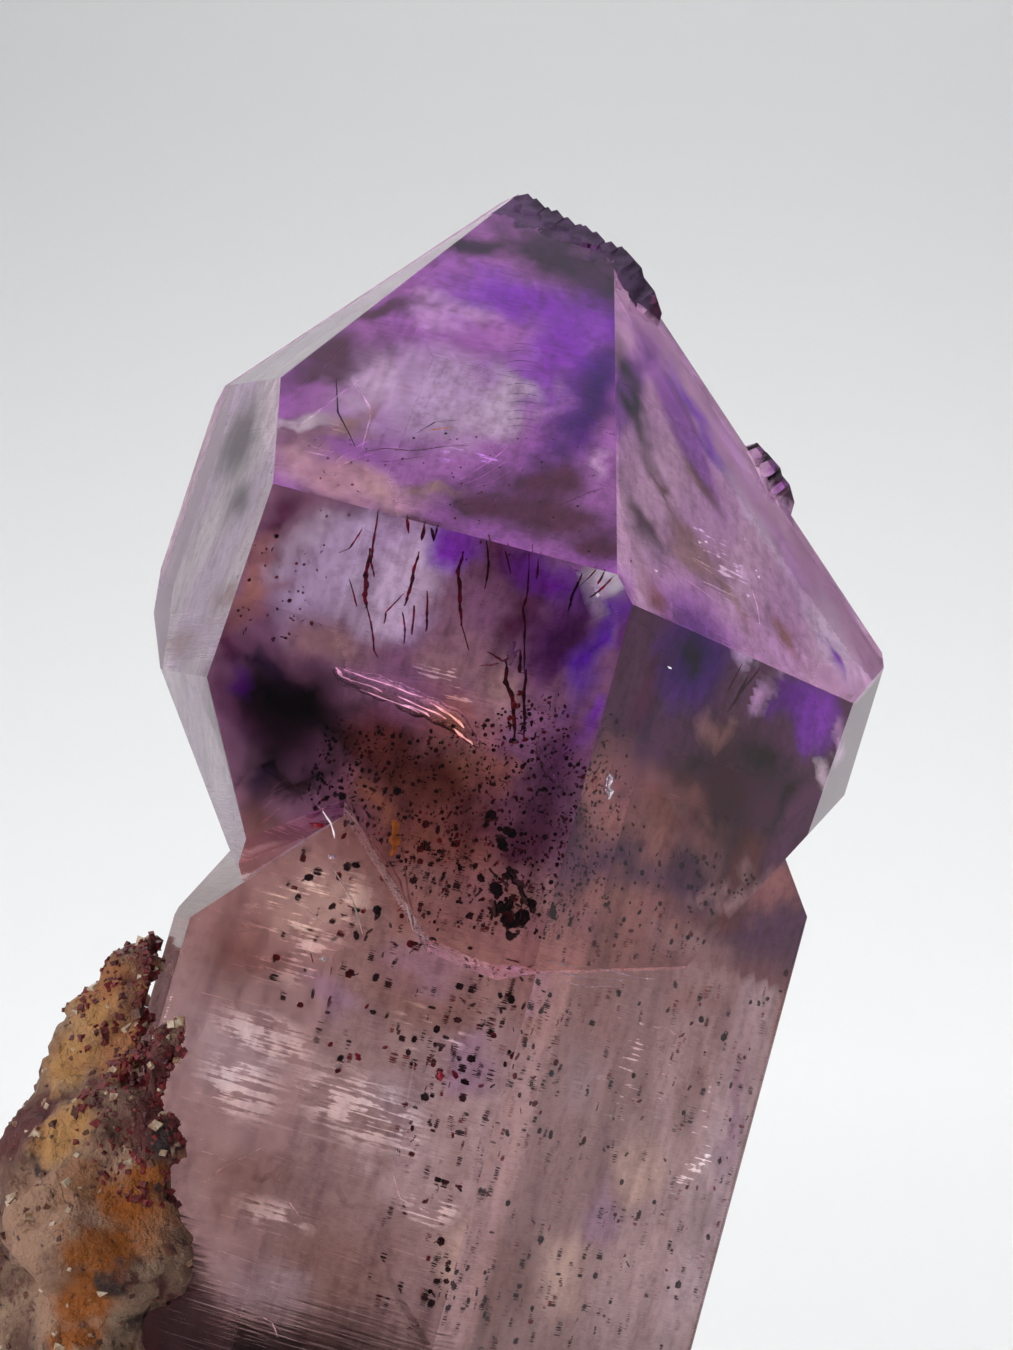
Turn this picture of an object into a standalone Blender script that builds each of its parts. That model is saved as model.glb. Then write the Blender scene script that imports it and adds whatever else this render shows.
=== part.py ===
"""An amethyst scepter: a stout violet quartz head grown over the end of a paler quartz stem, on host rock.

The crystal is cut the way quartz grows. Every flat face is a plane with a compass direction round the
crystal's long axis (azimuth), a tilt from that axis, and a distance from the middle of its part.
A large block is trimmed by each plane in turn. Head, stem and growth plates are then joined to one solid.
"""
import math
import random

import bmesh
import bpy
from mathutils import Matrix, Vector, noise

# Shapes are cut in millimetres and shrunk to metres at the very end.
MILLIMETRE = 0.001

# How the crystal stands on its cut base.
LEAN_RIGHT = math.radians(15.7)
LEAN_BACK = math.radians(6.2)

# Middle of the head and of the stem, in millimetres above the middle of the base.
HEAD_MIDDLE = Vector((6.6, 0.0, 33.4))
STEM_MIDDLE = Vector((6.6, -0.8, 26.5))

# Brings the middle of the whole object's box over the origin.
BASE_SHIFT = Vector((-0.41, -0.51, 0.0))

# Quartz repeats every 60 degrees. Its end faces lean 52 degrees off the long axis.
FRONT = -13.8
SIXTH = 60.0
END_TILT = 51.8
SIDE_TILT = 90.0

HOLD_GAP = 0.3
BLOCK = 70.0

# Each face: azimuth in degrees, 0 to the viewer and positive to the right; tilt; distance in mm.
# Growth never gives equal faces, so each one keeps its own small departure from the six-fold rule.
HEAD_FACES = {
    "front roof": (FRONT + 0.9, 50.4, 8.94),
    "right roof": (FRONT + SIXTH, END_TILT, 8.25),
    "left roof": (FRONT - SIXTH + 5.0, END_TILT, 11.85),
    "back right roof": (FRONT + 2 * SIXTH + 1.8, 44.1, 10.20),
    "back ridge": (135.2, 49.4, 8.5),
    "back roof": (FRONT + 3 * SIXTH, END_TILT, 10.6),
    "back left roof": (FRONT - 2 * SIXTH + 10.9, END_TILT + 4.2, 12.73),
    "front": (FRONT, SIDE_TILT + 0.4, 10.43),
    "right": (FRONT + SIXTH, SIDE_TILT, 10.07),
    "left": (FRONT - SIXTH + 2.1, SIDE_TILT - 2.2, 10.95),
    "right end strip": (74.0, 93.0, 11.35),
    "back right": (FRONT + 2 * SIXTH, SIDE_TILT, 11.5),
    "back": (FRONT + 3 * SIXTH, SIDE_TILT, 9.6),
    "back left": (FRONT - 2 * SIXTH, SIDE_TILT, 10.8),
    "left under": (-73.5, 117.2, 11.94),
    "left rim": (-86.1, 112.8, 11.96),
    "left back under": (-87.7, 126.9, 11.49),
    "right under": (86.8, 117.4, 11.42),
    "right rim": (83.9, 98.0, 11.9),
    "front lip": (15.4, 157.4, 14.36),
    "front left lip": (-32.7, 159.2, 13.18),
    "right lip": (77.5, 156.4, 12.04),
    "back right under": (140.0, 122.0, 9.8),
    "back under": (FRONT + 3 * SIXTH, 124.0, 9.0),
    "back left under": (-133.0, 122.0, 9.6),
    "neck bottom": (0.0, 180.0, 15.5),
}

# The head's front lip has a notch above the stem's left shoulder. These faces bound what is cut out.
NOTCH_FACES = {
    "right wall": (106.8, 46.5, -9.7),
    "top wall": (-120.0, 37.1, -6.78),
    "back wall": (FRONT + 3 * SIXTH, SIDE_TILT, -8.7),
}

STEM_FACES = {
    "front": (FRONT, SIDE_TILT, 9.6),
    "right": (FRONT + SIXTH, SIDE_TILT, 8.0),
    "right edge strip": (84.0, 89.3, 10.35),
    "back right": (FRONT + 2 * SIXTH, SIDE_TILT, 8.8),
    "back": (FRONT + 3 * SIXTH, SIDE_TILT, 8.1),
    "back left": (FRONT - 2 * SIXTH, SIDE_TILT, 8.6),
    "left": (FRONT - SIXTH, SIDE_TILT, 11.05),
    "left edge strip": (-90.0, SIDE_TILT, 9.95),
    "right shoulder": (81.3, 54.6, 8.08),
    "left shoulder": (-85.3, 63.6, 7.0),
    "front left shoulder": (FRONT - SIXTH, END_TILT, 5.43),
    "top": (0.0, 0.0, 7.0),
}

# Thin growth plates that stand proud of the stem's front face.
# Each: side from, side to, low, high (mm along the stem face from the stem's middle), height, end slant.
STEM_PLATES = {
    "upper plate": (-7.4, 0.9, -8.9, -7.6, 0.14, 6.0),
    "middle plate": (-7.2, 1.2, -10.6, -9.5, 0.22, -5.0),
}
PLATE_INSET = 0.08
PLATE_EDGE_FALL = 0.35
FLANK_FALL = 0.6
HILLOCK_HEIGHT = 0.34
HILLOCK_TOP = -10.9
HILLOCK_SIDE = -1.3

# Small crystal points that sit on an edge of the head, so that the edge looks broken and bumpy.
# Each row: the two faces that meet there, level from and to above the head's middle, how many, size.
EDGE_POINTS = (
    ("front roof", "back ridge", 14.9, 13.6, 9, 0.75),
    ("right roof", "back ridge", 13.5, 12.4, 4, 1.35),
    ("right roof", "back right roof", 8.5, 7.4, 3, 1.15),
)
POINT_SINK = 0.78

# Host rock: ball lumps (x, y, z, radius in mm) that are melted together, then roughened.
ROCK_LUMPS = (
    (-3.9, -8.4, 23.9, 1.0), (-4.4, -7.1, 22.3, 2.0),
    (-5.2, -6.9, 19.4, 2.9), (-6.2, -6.8, 15.8, 4.0),
    (-4.6, -9.3, 20.6, 1.6), (-5.1, -9.6, 17.6, 2.0), (-5.8, -9.9, 14.8, 2.3),
    (-6.6, -10.0, 11.6, 2.7), (-7.2, -10.0, 8.6, 3.0), (-7.4, -6.2, 11.3, 5.2),
    (-9.4, -3.5, 6.5, 6.6),
    (-10.6, -1.0, 1.5, 7.0), (-7.5, 3.5, 9.0, 6.0), (-6.0, 7.0, 3.5, 7.0),
    (0.0, 9.0, 2.0, 6.4), (6.0, 7.5, 1.0, 6.0), (-6.5, -8.4, 2.5, 5.6),
    (-0.5, -10.6, 0.5, 4.8), (5.5, -9.5, -0.5, 4.6), (9.5, 1.5, -0.5, 5.0),
)
ROCK_GRAIN = 0.5
ROCK_ROUGHNESS = (("lumps", 6.0, 1.7), ("knobs", 2.6, 0.9), ("pits", 1.3, 0.42))
ROCK_TRIANGLES = 12000
SEED = 17


def crystal_axes():
    """Long axis, side direction and front direction of the leaning crystal, as unit vectors."""
    long_axis = Vector((
        math.sin(LEAN_RIGHT) * math.cos(LEAN_BACK),
        math.sin(LEAN_BACK),
        math.cos(LEAN_RIGHT) * math.cos(LEAN_BACK),
    ))
    side = Vector((math.cos(LEAN_RIGHT), 0.0, -math.sin(LEAN_RIGHT)))
    front = side.cross(long_axis)
    return long_axis, side, front


LONG_AXIS, SIDE, TO_VIEWER = crystal_axes()


def face_direction(azimuth, tilt):
    """Outward direction of a crystal face from its compass direction and its tilt, in degrees."""
    turn = math.radians(azimuth)
    lean = math.radians(tilt)
    around = TO_VIEWER * math.cos(turn) + SIDE * math.sin(turn)
    return (LONG_AXIS * math.cos(lean) + around * math.sin(lean)).normalized()


def clear_scene():
    for item in list(bpy.data.objects):
        bpy.data.objects.remove(item)


def make_material(name, colour, roughness):
    material = bpy.data.materials.new(name)
    material.use_nodes = True
    shader = material.node_tree.nodes["Principled BSDF"]
    shader.inputs["Base Color"].default_value = (*colour, 1.0)
    shader.inputs["Roughness"].default_value = roughness
    shader.inputs["Metallic"].default_value = 0.0
    material.diffuse_color = (*colour, 1.0)
    return material


def make_object(name, mesh_source):
    mesh = bpy.data.meshes.new(name)
    mesh_source.to_mesh(mesh)
    mesh_source.free()
    item = bpy.data.objects.new(name, mesh)
    bpy.context.scene.collection.objects.link(item)
    return item


def trim(block, direction, point):
    """Cut away everything beyond a plane and close the cut with one flat face."""
    cut = bmesh.ops.bisect_plane(
        block,
        geom=block.verts[:] + block.edges[:] + block.faces[:],
        dist=1e-5,
        plane_co=point,
        plane_no=direction,
        clear_outer=True,
    )
    rim = [part for part in cut["geom_cut"] if isinstance(part, bmesh.types.BMEdge)]
    if len(rim) > 2:
        bmesh.ops.contextual_create(block, geom=rim)


def block_at(middle, size):
    block = bmesh.new()
    place = Matrix.Translation(middle)
    bmesh.ops.create_cube(block, size=size, matrix=place)
    return block


def close_block(block):
    bmesh.ops.recalc_face_normals(block, faces=block.faces[:])
    return block


def cut_crystal(faces, middle, grow=0.0):
    """Trim a block by each named crystal face, moved outward by grow millimetres."""
    block = block_at(middle, BLOCK)
    for azimuth, tilt, distance in faces.values():
        direction = face_direction(azimuth, tilt)
        trim(block, direction, (middle + direction * (distance + grow)))
    return close_block(block)


def face_frame():
    """Outward, sideways and upward directions of the stem's front face."""
    outward = face_direction(FRONT, SIDE_TILT)
    sideways = face_direction(FRONT + 90.0, SIDE_TILT)
    return outward, sideways, LONG_AXIS


def trim_to_stem(block):
    """Keep a plate from sticking out past the stem's neighbouring faces."""
    for name in ("left", "right", "left shoulder", "front left shoulder", "right shoulder"):
        azimuth, tilt, distance = STEM_FACES[name]
        direction = face_direction(azimuth, tilt)
        trim(block, direction, (STEM_MIDDLE + direction * (distance - PLATE_INSET)))


def growth_plate(side_from, side_to, low, high, height, slant):
    """A thin plate on the stem's front face whose ends lean by slant degrees."""
    outward, sideways, upward = face_frame()
    stem_front = STEM_FACES["front"][2]
    lean = math.tan(math.radians(slant))
    block = block_at(STEM_MIDDLE, BLOCK)
    trim(block, outward, (STEM_MIDDLE + outward * (stem_front + height)))
    trim(block, -outward, (STEM_MIDDLE + outward * (stem_front - 1.0)))
    # The plate's edges fall off gently, so each one catches the light as a narrow strip.
    right_way = (sideways + upward * lean + outward * PLATE_EDGE_FALL).normalized()
    left_way = (-sideways + upward * lean + outward * PLATE_EDGE_FALL).normalized()
    top_way = (upward + outward * PLATE_EDGE_FALL).normalized()
    low_way = (-upward + outward * PLATE_EDGE_FALL).normalized()
    middle_up = (low + high) / 2
    foot = STEM_MIDDLE + outward * stem_front
    trim(block, right_way, (foot + sideways * side_to + upward * middle_up))
    trim(block, left_way, (foot + sideways * side_from + upward * middle_up))
    trim(block, top_way, (foot + upward * high))
    trim(block, low_way, (foot + upward * low))
    trim_to_stem(block)
    return close_block(block)


def growth_hillock():
    """The low three-sided hill on the stem's front face, open towards the base."""
    outward, sideways, upward = face_frame()
    stem_front = STEM_FACES["front"][2]
    top = STEM_MIDDLE + outward * stem_front + sideways * HILLOCK_SIDE + upward * HILLOCK_TOP
    block = block_at(STEM_MIDDLE, BLOCK)
    trim(block, outward, (STEM_MIDDLE + outward * (stem_front + HILLOCK_HEIGHT)))
    trim(block, -outward, (STEM_MIDDLE + outward * (stem_front - 1.0)))
    left_flank = (upward * 0.77 - sideways * 0.64 + outward * FLANK_FALL).normalized()
    right_flank = (upward * 0.73 + sideways * 0.68 + outward * FLANK_FALL).normalized()
    trim(block, left_flank, top)
    trim(block, right_flank, top)
    trim_to_stem(block)
    return close_block(block)


def small_point(middle, size, turn):
    """A little quartz point: six sides and three large roof faces."""
    block = block_at(middle, BLOCK)
    for step in range(6):
        direction = face_direction(FRONT + turn + step * SIXTH, SIDE_TILT)
        trim(block, direction, (middle + direction * size * 0.55))
    for step in range(3):
        direction = face_direction(FRONT + turn + step * 2 * SIXTH, END_TILT)
        trim(block, direction, (middle + direction * size * 0.62))
    trim(block, -LONG_AXIS, (middle - LONG_AXIS * size * 1.1))
    return close_block(block)


def place_on_edge(first, second, level):
    """The spot where two head faces meet, at a level along the long axis above the head's middle."""
    rows = []
    distances = []
    for name in (first, second):
        azimuth, tilt, distance = HEAD_FACES[name]
        rows.append(face_direction(azimuth, tilt))
        distances.append(distance)
    rows.append(LONG_AXIS)
    distances.append(level)
    return HEAD_MIDDLE + Matrix(rows).inverted() @ Vector(distances)


def join_to(target, others):
    """Boolean union of closed solids into one, applied straight away."""
    for other in others:
        joiner = target.modifiers.new("join", "BOOLEAN")
        joiner.operation = "UNION"
        joiner.solver = "EXACT"
        joiner.object = other
        apply_modifiers(target)
        bpy.data.objects.remove(other)


def apply_modifiers(item):
    graph = bpy.context.evaluated_depsgraph_get()
    graph.update()
    result = bpy.data.meshes.new_from_object(item.evaluated_get(graph))
    item.modifiers.clear()
    item.data = result


def carve_out(item, cutter):
    """Boolean difference, applied straight away."""
    carve = item.modifiers.new("carve", "BOOLEAN")
    carve.operation = "DIFFERENCE"
    carve.solver = "EXACT"
    carve.object = cutter
    apply_modifiers(item)
    bpy.data.objects.remove(cutter)


def cut_flat_base(item):
    """Cut the object off flat at the height of the ground."""
    ground = make_object("ground", block_at(Vector((0.0, 0.0, -BLOCK / 2)), BLOCK))
    carve_out(item, ground)


def settle(item):
    """Move the object so that its box is centred on the base, and shrink it to metres."""
    item.data.transform(Matrix.Scale(MILLIMETRE, 4) @ Matrix.Translation(BASE_SHIFT))


def make_scepter_crystal():
    crystal = make_object("scepter_crystal", cut_crystal(STEM_FACES, STEM_MIDDLE))
    head = make_object("head", cut_crystal(HEAD_FACES, HEAD_MIDDLE))
    carve_out(head, make_object("notch", cut_crystal(NOTCH_FACES, HEAD_MIDDLE)))
    pieces = [head]
    for name, sizes in STEM_PLATES.items():
        pieces.append(make_object(name, growth_plate(*sizes)))
    pieces.append(make_object("hillock", growth_hillock()))
    chance = random.Random(SEED)
    for first, second, level_from, level_to, count, size_near in EDGE_POINTS:
        for step in range(count):
            level = level_from + (level_to - level_from) * (step + chance.uniform(-0.3, 0.3)) / count
            size = size_near * chance.uniform(0.7, 1.3)
            middle = place_on_edge(first, second, level) - LONG_AXIS * size * POINT_SINK
            turn = chance.uniform(-12.0, 12.0)
            pieces.append(make_object("point", small_point(middle, size, turn)))
    join_to(crystal, pieces)
    cut_flat_base(crystal)
    settle(crystal)
    crystal.data.materials.clear()
    crystal.data.materials.append(make_material("amethyst", (0.42, 0.27, 0.47), 0.05))
    return crystal


def rough_distance(place):
    """How far the rock's skin moves out at a place, from three sizes of soft noise."""
    total = 0.0
    for number, (name, size, height) in enumerate(ROCK_ROUGHNESS):
        shift = Vector((number * 7.3, SEED, number * 3.1))
        value = noise.noise(place / size + shift)
        if name == "pits":
            value = -abs(value) * 1.6 + 0.3
        total += value * height
    return total


def make_matrix_rock():
    rough = bmesh.new()
    for x, y, z, radius in ROCK_LUMPS:
        place = Matrix.Translation(Vector((x, y, z)))
        bmesh.ops.create_icosphere(rough, subdivisions=3, radius=radius, matrix=place)
    rock = make_object("matrix_rock", rough)
    melt = rock.modifiers.new("melt", "REMESH")
    melt.mode = "VOXEL"
    melt.voxel_size = ROCK_GRAIN
    soften = rock.modifiers.new("soften", "SMOOTH")
    soften.factor = 0.6
    soften.iterations = 12
    apply_modifiers(rock)
    skin = bmesh.new()
    skin.from_mesh(rock.data)
    skin.normal_update()
    moves = [vertex.normal * rough_distance(vertex.co) for vertex in skin.verts]
    for vertex, move in zip(skin.verts, moves):
        vertex.co += move
    skin.to_mesh(rock.data)
    skin.free()
    thin_out = rock.modifiers.new("thin out", "DECIMATE")
    thin_out.ratio = ROCK_TRIANGLES / (2 * len(rock.data.polygons))
    apply_modifiers(rock)
    # The hollow that holds the crystal is the crystal itself, grown by the gap between the two solids.
    stem_room = dict(STEM_FACES)
    azimuth, tilt, distance = stem_room["front"]
    stem_room["front"] = (azimuth, tilt, distance + HILLOCK_HEIGHT)
    hollows = (
        cut_crystal(stem_room, STEM_MIDDLE, HOLD_GAP),
        cut_crystal(HEAD_FACES, HEAD_MIDDLE, HOLD_GAP),
    )
    for shape in hollows:
        carve_out(rock, make_object("hollow", shape))
    cut_flat_base(rock)
    keep_largest_piece(rock)
    settle(rock)
    rock.data.materials.clear()
    rock.data.materials.append(make_material("host rock", (0.34, 0.22, 0.15), 0.85))
    return rock


def keep_largest_piece(item):
    """Drop crumbs that the cuts have separated from the main lump."""
    block = bmesh.new()
    block.from_mesh(item.data)
    left = set(block.verts)
    groups = []
    while left:
        group = set()
        border = [left.pop()]
        while border:
            vertex = border.pop()
            group.add(vertex)
            for edge in vertex.link_edges:
                other = edge.other_vert(vertex)
                if other in left:
                    left.discard(other)
                    border.append(other)
        groups.append(group)
    groups.sort(key=len)
    crumbs = [vertex for group in groups[:-1] for vertex in group]
    bmesh.ops.delete(block, geom=crumbs, context="VERTS")
    block.to_mesh(item.data)
    block.free()


def main():
    clear_scene()
    make_scepter_crystal()
    make_matrix_rock()


main()
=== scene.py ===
# %% [markdown]
# # An amethyst scepter
#
# The object is one quartz crystal on a lump of host rock. A wide violet head has grown over the end of a
# paler stem. Almost everything that the eye reads as colour sits inside the clear quartz: violet growth
# zones, a brown speckled neck, rust-red needles, round iron oxide flakes and one silvery fluid tube.
# So this lesson builds the clear body first and then fills it, as nature did, from the inside.

# %% Load the measured frame
import math

import bmesh
import bpy
import numpy as np
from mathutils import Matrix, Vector
from mathutils.bvhtree import BVHTree


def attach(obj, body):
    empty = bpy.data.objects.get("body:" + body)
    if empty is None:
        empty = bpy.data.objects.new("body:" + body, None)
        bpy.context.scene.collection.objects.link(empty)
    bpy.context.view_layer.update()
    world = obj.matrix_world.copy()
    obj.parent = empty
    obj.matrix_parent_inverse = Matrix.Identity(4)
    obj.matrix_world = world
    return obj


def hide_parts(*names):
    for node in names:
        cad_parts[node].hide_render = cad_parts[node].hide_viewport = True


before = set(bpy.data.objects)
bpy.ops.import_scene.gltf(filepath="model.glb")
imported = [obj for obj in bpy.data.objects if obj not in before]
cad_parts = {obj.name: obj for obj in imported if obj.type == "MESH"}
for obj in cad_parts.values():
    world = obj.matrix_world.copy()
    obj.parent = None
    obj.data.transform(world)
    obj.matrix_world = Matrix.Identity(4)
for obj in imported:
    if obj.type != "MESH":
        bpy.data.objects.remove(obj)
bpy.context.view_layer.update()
MM = 0.001

# %% [markdown]
# ## The crystal's own directions
#
# Quartz is ruled by its long axis. Every face is known by a compass direction round that axis (its
# azimuth), a tilt from it and a distance from the middle. The same few numbers that shaped the solid
# tell this script where each face is, so that what lies inside can be placed a stated depth under it.

# %% Directions and faces
LEAN_RIGHT = math.radians(15.7)
LEAN_BACK = math.radians(6.2)

# Azimuth of the front prism face, and the turn from one prism face to the next, in degrees.
FRONT = -13.8
SIXTH = 60.0

# Middles of the head and of the stem, in mm.
HEAD_MIDDLE = np.array([6.19, -0.51, 33.4])
STEM_MIDDLE = np.array([6.19, -1.31, 26.5])

LONG_AXIS = np.array([
    math.sin(LEAN_RIGHT) * math.cos(LEAN_BACK),
    math.sin(LEAN_BACK),
    math.cos(LEAN_RIGHT) * math.cos(LEAN_BACK),
])
SIDE = np.array([math.cos(LEAN_RIGHT), 0.0, -math.sin(LEAN_RIGHT)])
TO_VIEWER = np.cross(SIDE, LONG_AXIS)

# Middle, azimuth, tilt and distance of the faces that things are placed under, in degrees and mm.
FACES = {
    "front": (HEAD_MIDDLE, FRONT, 90.4, 10.43),
    "right": (HEAD_MIDDLE, FRONT + SIXTH, 90.0, 10.07),
    "left": (HEAD_MIDDLE, FRONT - SIXTH + 2.1, 87.8, 10.95),
    "front roof": (HEAD_MIDDLE, FRONT + 0.9, 50.4, 8.94),
    "right roof": (HEAD_MIDDLE, FRONT + SIXTH, 51.8, 8.25),
    "stem front": (STEM_MIDDLE, FRONT, 90.0, 9.6),
    "stem right": (STEM_MIDDLE, FRONT + SIXTH, 90.0, 8.0),
}

# Azimuth, tilt and distance of every outer face of the head and of the stem: what lies inside is
# kept behind them.
HEAD_LIMITS = (
    FACES["front roof"][1:], FACES["right roof"][1:], (FRONT - SIXTH + 5.0, 51.8, 11.85),
    (FRONT + 2 * SIXTH + 1.8, 44.1, 10.2), (135.2, 49.4, 8.5), (FRONT + 3 * SIXTH, 51.8, 10.6),
    (FRONT - 2 * SIXTH + 10.9, 56.0, 12.73), FACES["front"][1:], FACES["right"][1:],
    FACES["left"][1:], (74.0, 93.0, 11.35), (FRONT + 2 * SIXTH, 90.0, 11.5),
    (FRONT + 3 * SIXTH, 90.0, 9.6), (FRONT - 2 * SIXTH, 90.0, 10.8), (-73.5, 117.2, 11.94),
    (-86.1, 112.8, 11.96), (-87.7, 126.9, 11.49), (86.8, 117.4, 11.42), (140.0, 122.0, 9.8),
    (FRONT + 3 * SIXTH, 124.0, 9.0), (-133.0, 122.0, 9.6), (15.4, 157.4, 14.36),
    (-32.7, 159.2, 13.18), (77.5, 156.4, 12.04),
)
STEM_LIMITS = (
    FACES["stem front"][1:], FACES["stem right"][1:], (84.0, 89.3, 10.35), (FRONT + 2 * SIXTH, 90.0, 8.8),
    (FRONT + 3 * SIXTH, 90.0, 8.1), (FRONT - 2 * SIXTH, 90.0, 8.6), (FRONT - SIXTH, 90.0, 11.05),
    (-90.0, 90.0, 9.95), (81.3, 54.6, 8.08), (-85.3, 63.6, 7.0), (FRONT - SIXTH, 51.8, 5.43),
)


def face_direction(azimuth, tilt):
    """Outward unit vector: cos(tilt) along the axis plus sin(tilt) round it at the azimuth."""
    turn = math.radians(azimuth)
    lean = math.radians(tilt)
    around = TO_VIEWER * math.cos(turn) + SIDE * math.sin(turn)
    return LONG_AXIS * math.cos(lean) + around * math.sin(lean)


def face_axes(face):
    """The outward, sideways and upward directions of a face."""
    outward = face_direction(*FACES[face][1:3])
    sideways = face_direction(FACES[face][1] + 90.0, 90.0)
    return outward, sideways, np.cross(outward, sideways)


def keep_inside(points, face, skin):
    """Slide points that lie beyond a face of the same part back to a skin under it, face after face."""
    on_stem = face.startswith("stem")
    middle = STEM_MIDDLE if on_stem else HEAD_MIDDLE
    for _ in range(3):
        for azimuth, tilt, distance in STEM_LIMITS if on_stem else HEAD_LIMITS:
            direction = face_direction(azimuth, tilt)
            over = (points - middle) @ direction - (distance - skin)
            points = points - np.outer(np.maximum(over, 0.0), direction)
    return points


# %% [markdown]
# ## The camera
#
# The photograph is a close-up, taken level with the head from about eleven centimetres. Photo places
# are named in pixels of its 1013 by 1350 frame. A place under a face is found by following the line of
# sight to the face, bending it there as quartz does, and going down to the wanted depth.

# %% Camera and lines of sight
PHOTO_WIDE = 1013
PHOTO_HIGH = 1350

# Focal length in pixels, the eye's place in mm, and the usual film width in mm.
FOCUS = 3300.0
EYE = np.array([5.74, -110.51, 32.2])
FILM = 36.0
QUARTZ_IOR = 1.544


def sight_line(across, down):
    """Unit direction from the eye through a photo pixel."""
    line = np.array([(across - PHOTO_WIDE / 2) / FOCUS, 1.0, -(down - PHOTO_HIGH / 2) / FOCUS])
    return line / np.linalg.norm(line)


def on_face(across, down, face):
    """The point of a face seen at a photo pixel, in millimetres."""
    middle, azimuth, tilt, distance = FACES[face]
    direction = face_direction(azimuth, tilt)
    line = sight_line(across, down)
    reach = (distance - (EYE - middle) @ direction) / (line @ direction)
    return EYE + line * reach


def under_face(across, down, face, depth):
    """The point at a depth below a face that is seen, through the quartz, at a photo pixel."""
    direction = face_direction(*FACES[face][1:3])
    line = sight_line(across, down)
    entry = on_face(across, down, face)
    along = -(line @ direction)
    ratio = 1.0 / QUARTZ_IOR
    inner = math.sqrt(1.0 - ratio * ratio * (1.0 - along * along))
    bent = line * ratio + direction * (ratio * along - inner)
    return entry + bent * (depth / inner)


def put(name, data):
    """A new object in the scene."""
    item = bpy.data.objects.new(name, data)
    bpy.context.scene.collection.objects.link(item)
    return item


def make_camera():
    camera = put("camera", bpy.data.cameras.new("camera"))
    camera.location = EYE * MM
    camera.rotation_euler = (math.pi / 2, 0.0, 0.0)
    camera.data.sensor_fit = "AUTO"
    camera.data.sensor_width = FILM
    camera.data.lens = FOCUS / PHOTO_HIGH * FILM
    camera.data.clip_start = 0.005
    camera.data.clip_end = 20.0
    bpy.context.scene.camera = camera


make_camera()
print("front face middle at", np.round(on_face(450, 650, "front"), 2))

# %% [markdown]
# ## Writing shader maths as plain expressions
#
# A `Field` is a number that varies over a surface. It can be added, subtracted and scaled like a Python
# number, and each operation adds one Math node. A `Shade` is a material: its `node` makes any other node
# from its type, its settings and its inputs, and the rest are short names for the nodes used most.


# %% Shader helpers
class Field:
    """One output of a node, which takes part in maths."""

    def __init__(self, shade, socket):
        self.shade = shade
        self.socket = socket

    def maths(self, operation, *others):
        node = self.shade.tree.nodes.new("ShaderNodeMath")
        node.operation = operation
        for place, value in enumerate((self, *others)):
            self.shade.feed(node.inputs[place], value)
        return Field(self.shade, node.outputs[0])

    def __add__(self, other):
        return self.maths("ADD", other)

    def __radd__(self, other):
        return self.maths("ADD", other)

    def __sub__(self, other):
        return self.maths("SUBTRACT", other)

    def __rsub__(self, other):
        return (self * -1.0) + other

    def __mul__(self, other):
        return self.maths("MULTIPLY", other)

    def __rmul__(self, other):
        return self.maths("MULTIPLY", other)

    def at_least(self, other):
        return self.maths("MAXIMUM", other)

    def clear_step(self, low, high):
        """0 below low, 1 above high, and a soft S between them."""
        return self.shade.node(
            "ShaderNodeMapRange",
            {"interpolation_type": "SMOOTHSTEP"},
            {"Value": self, "From Min": low, "From Max": high},
            "Result",
        )


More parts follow.
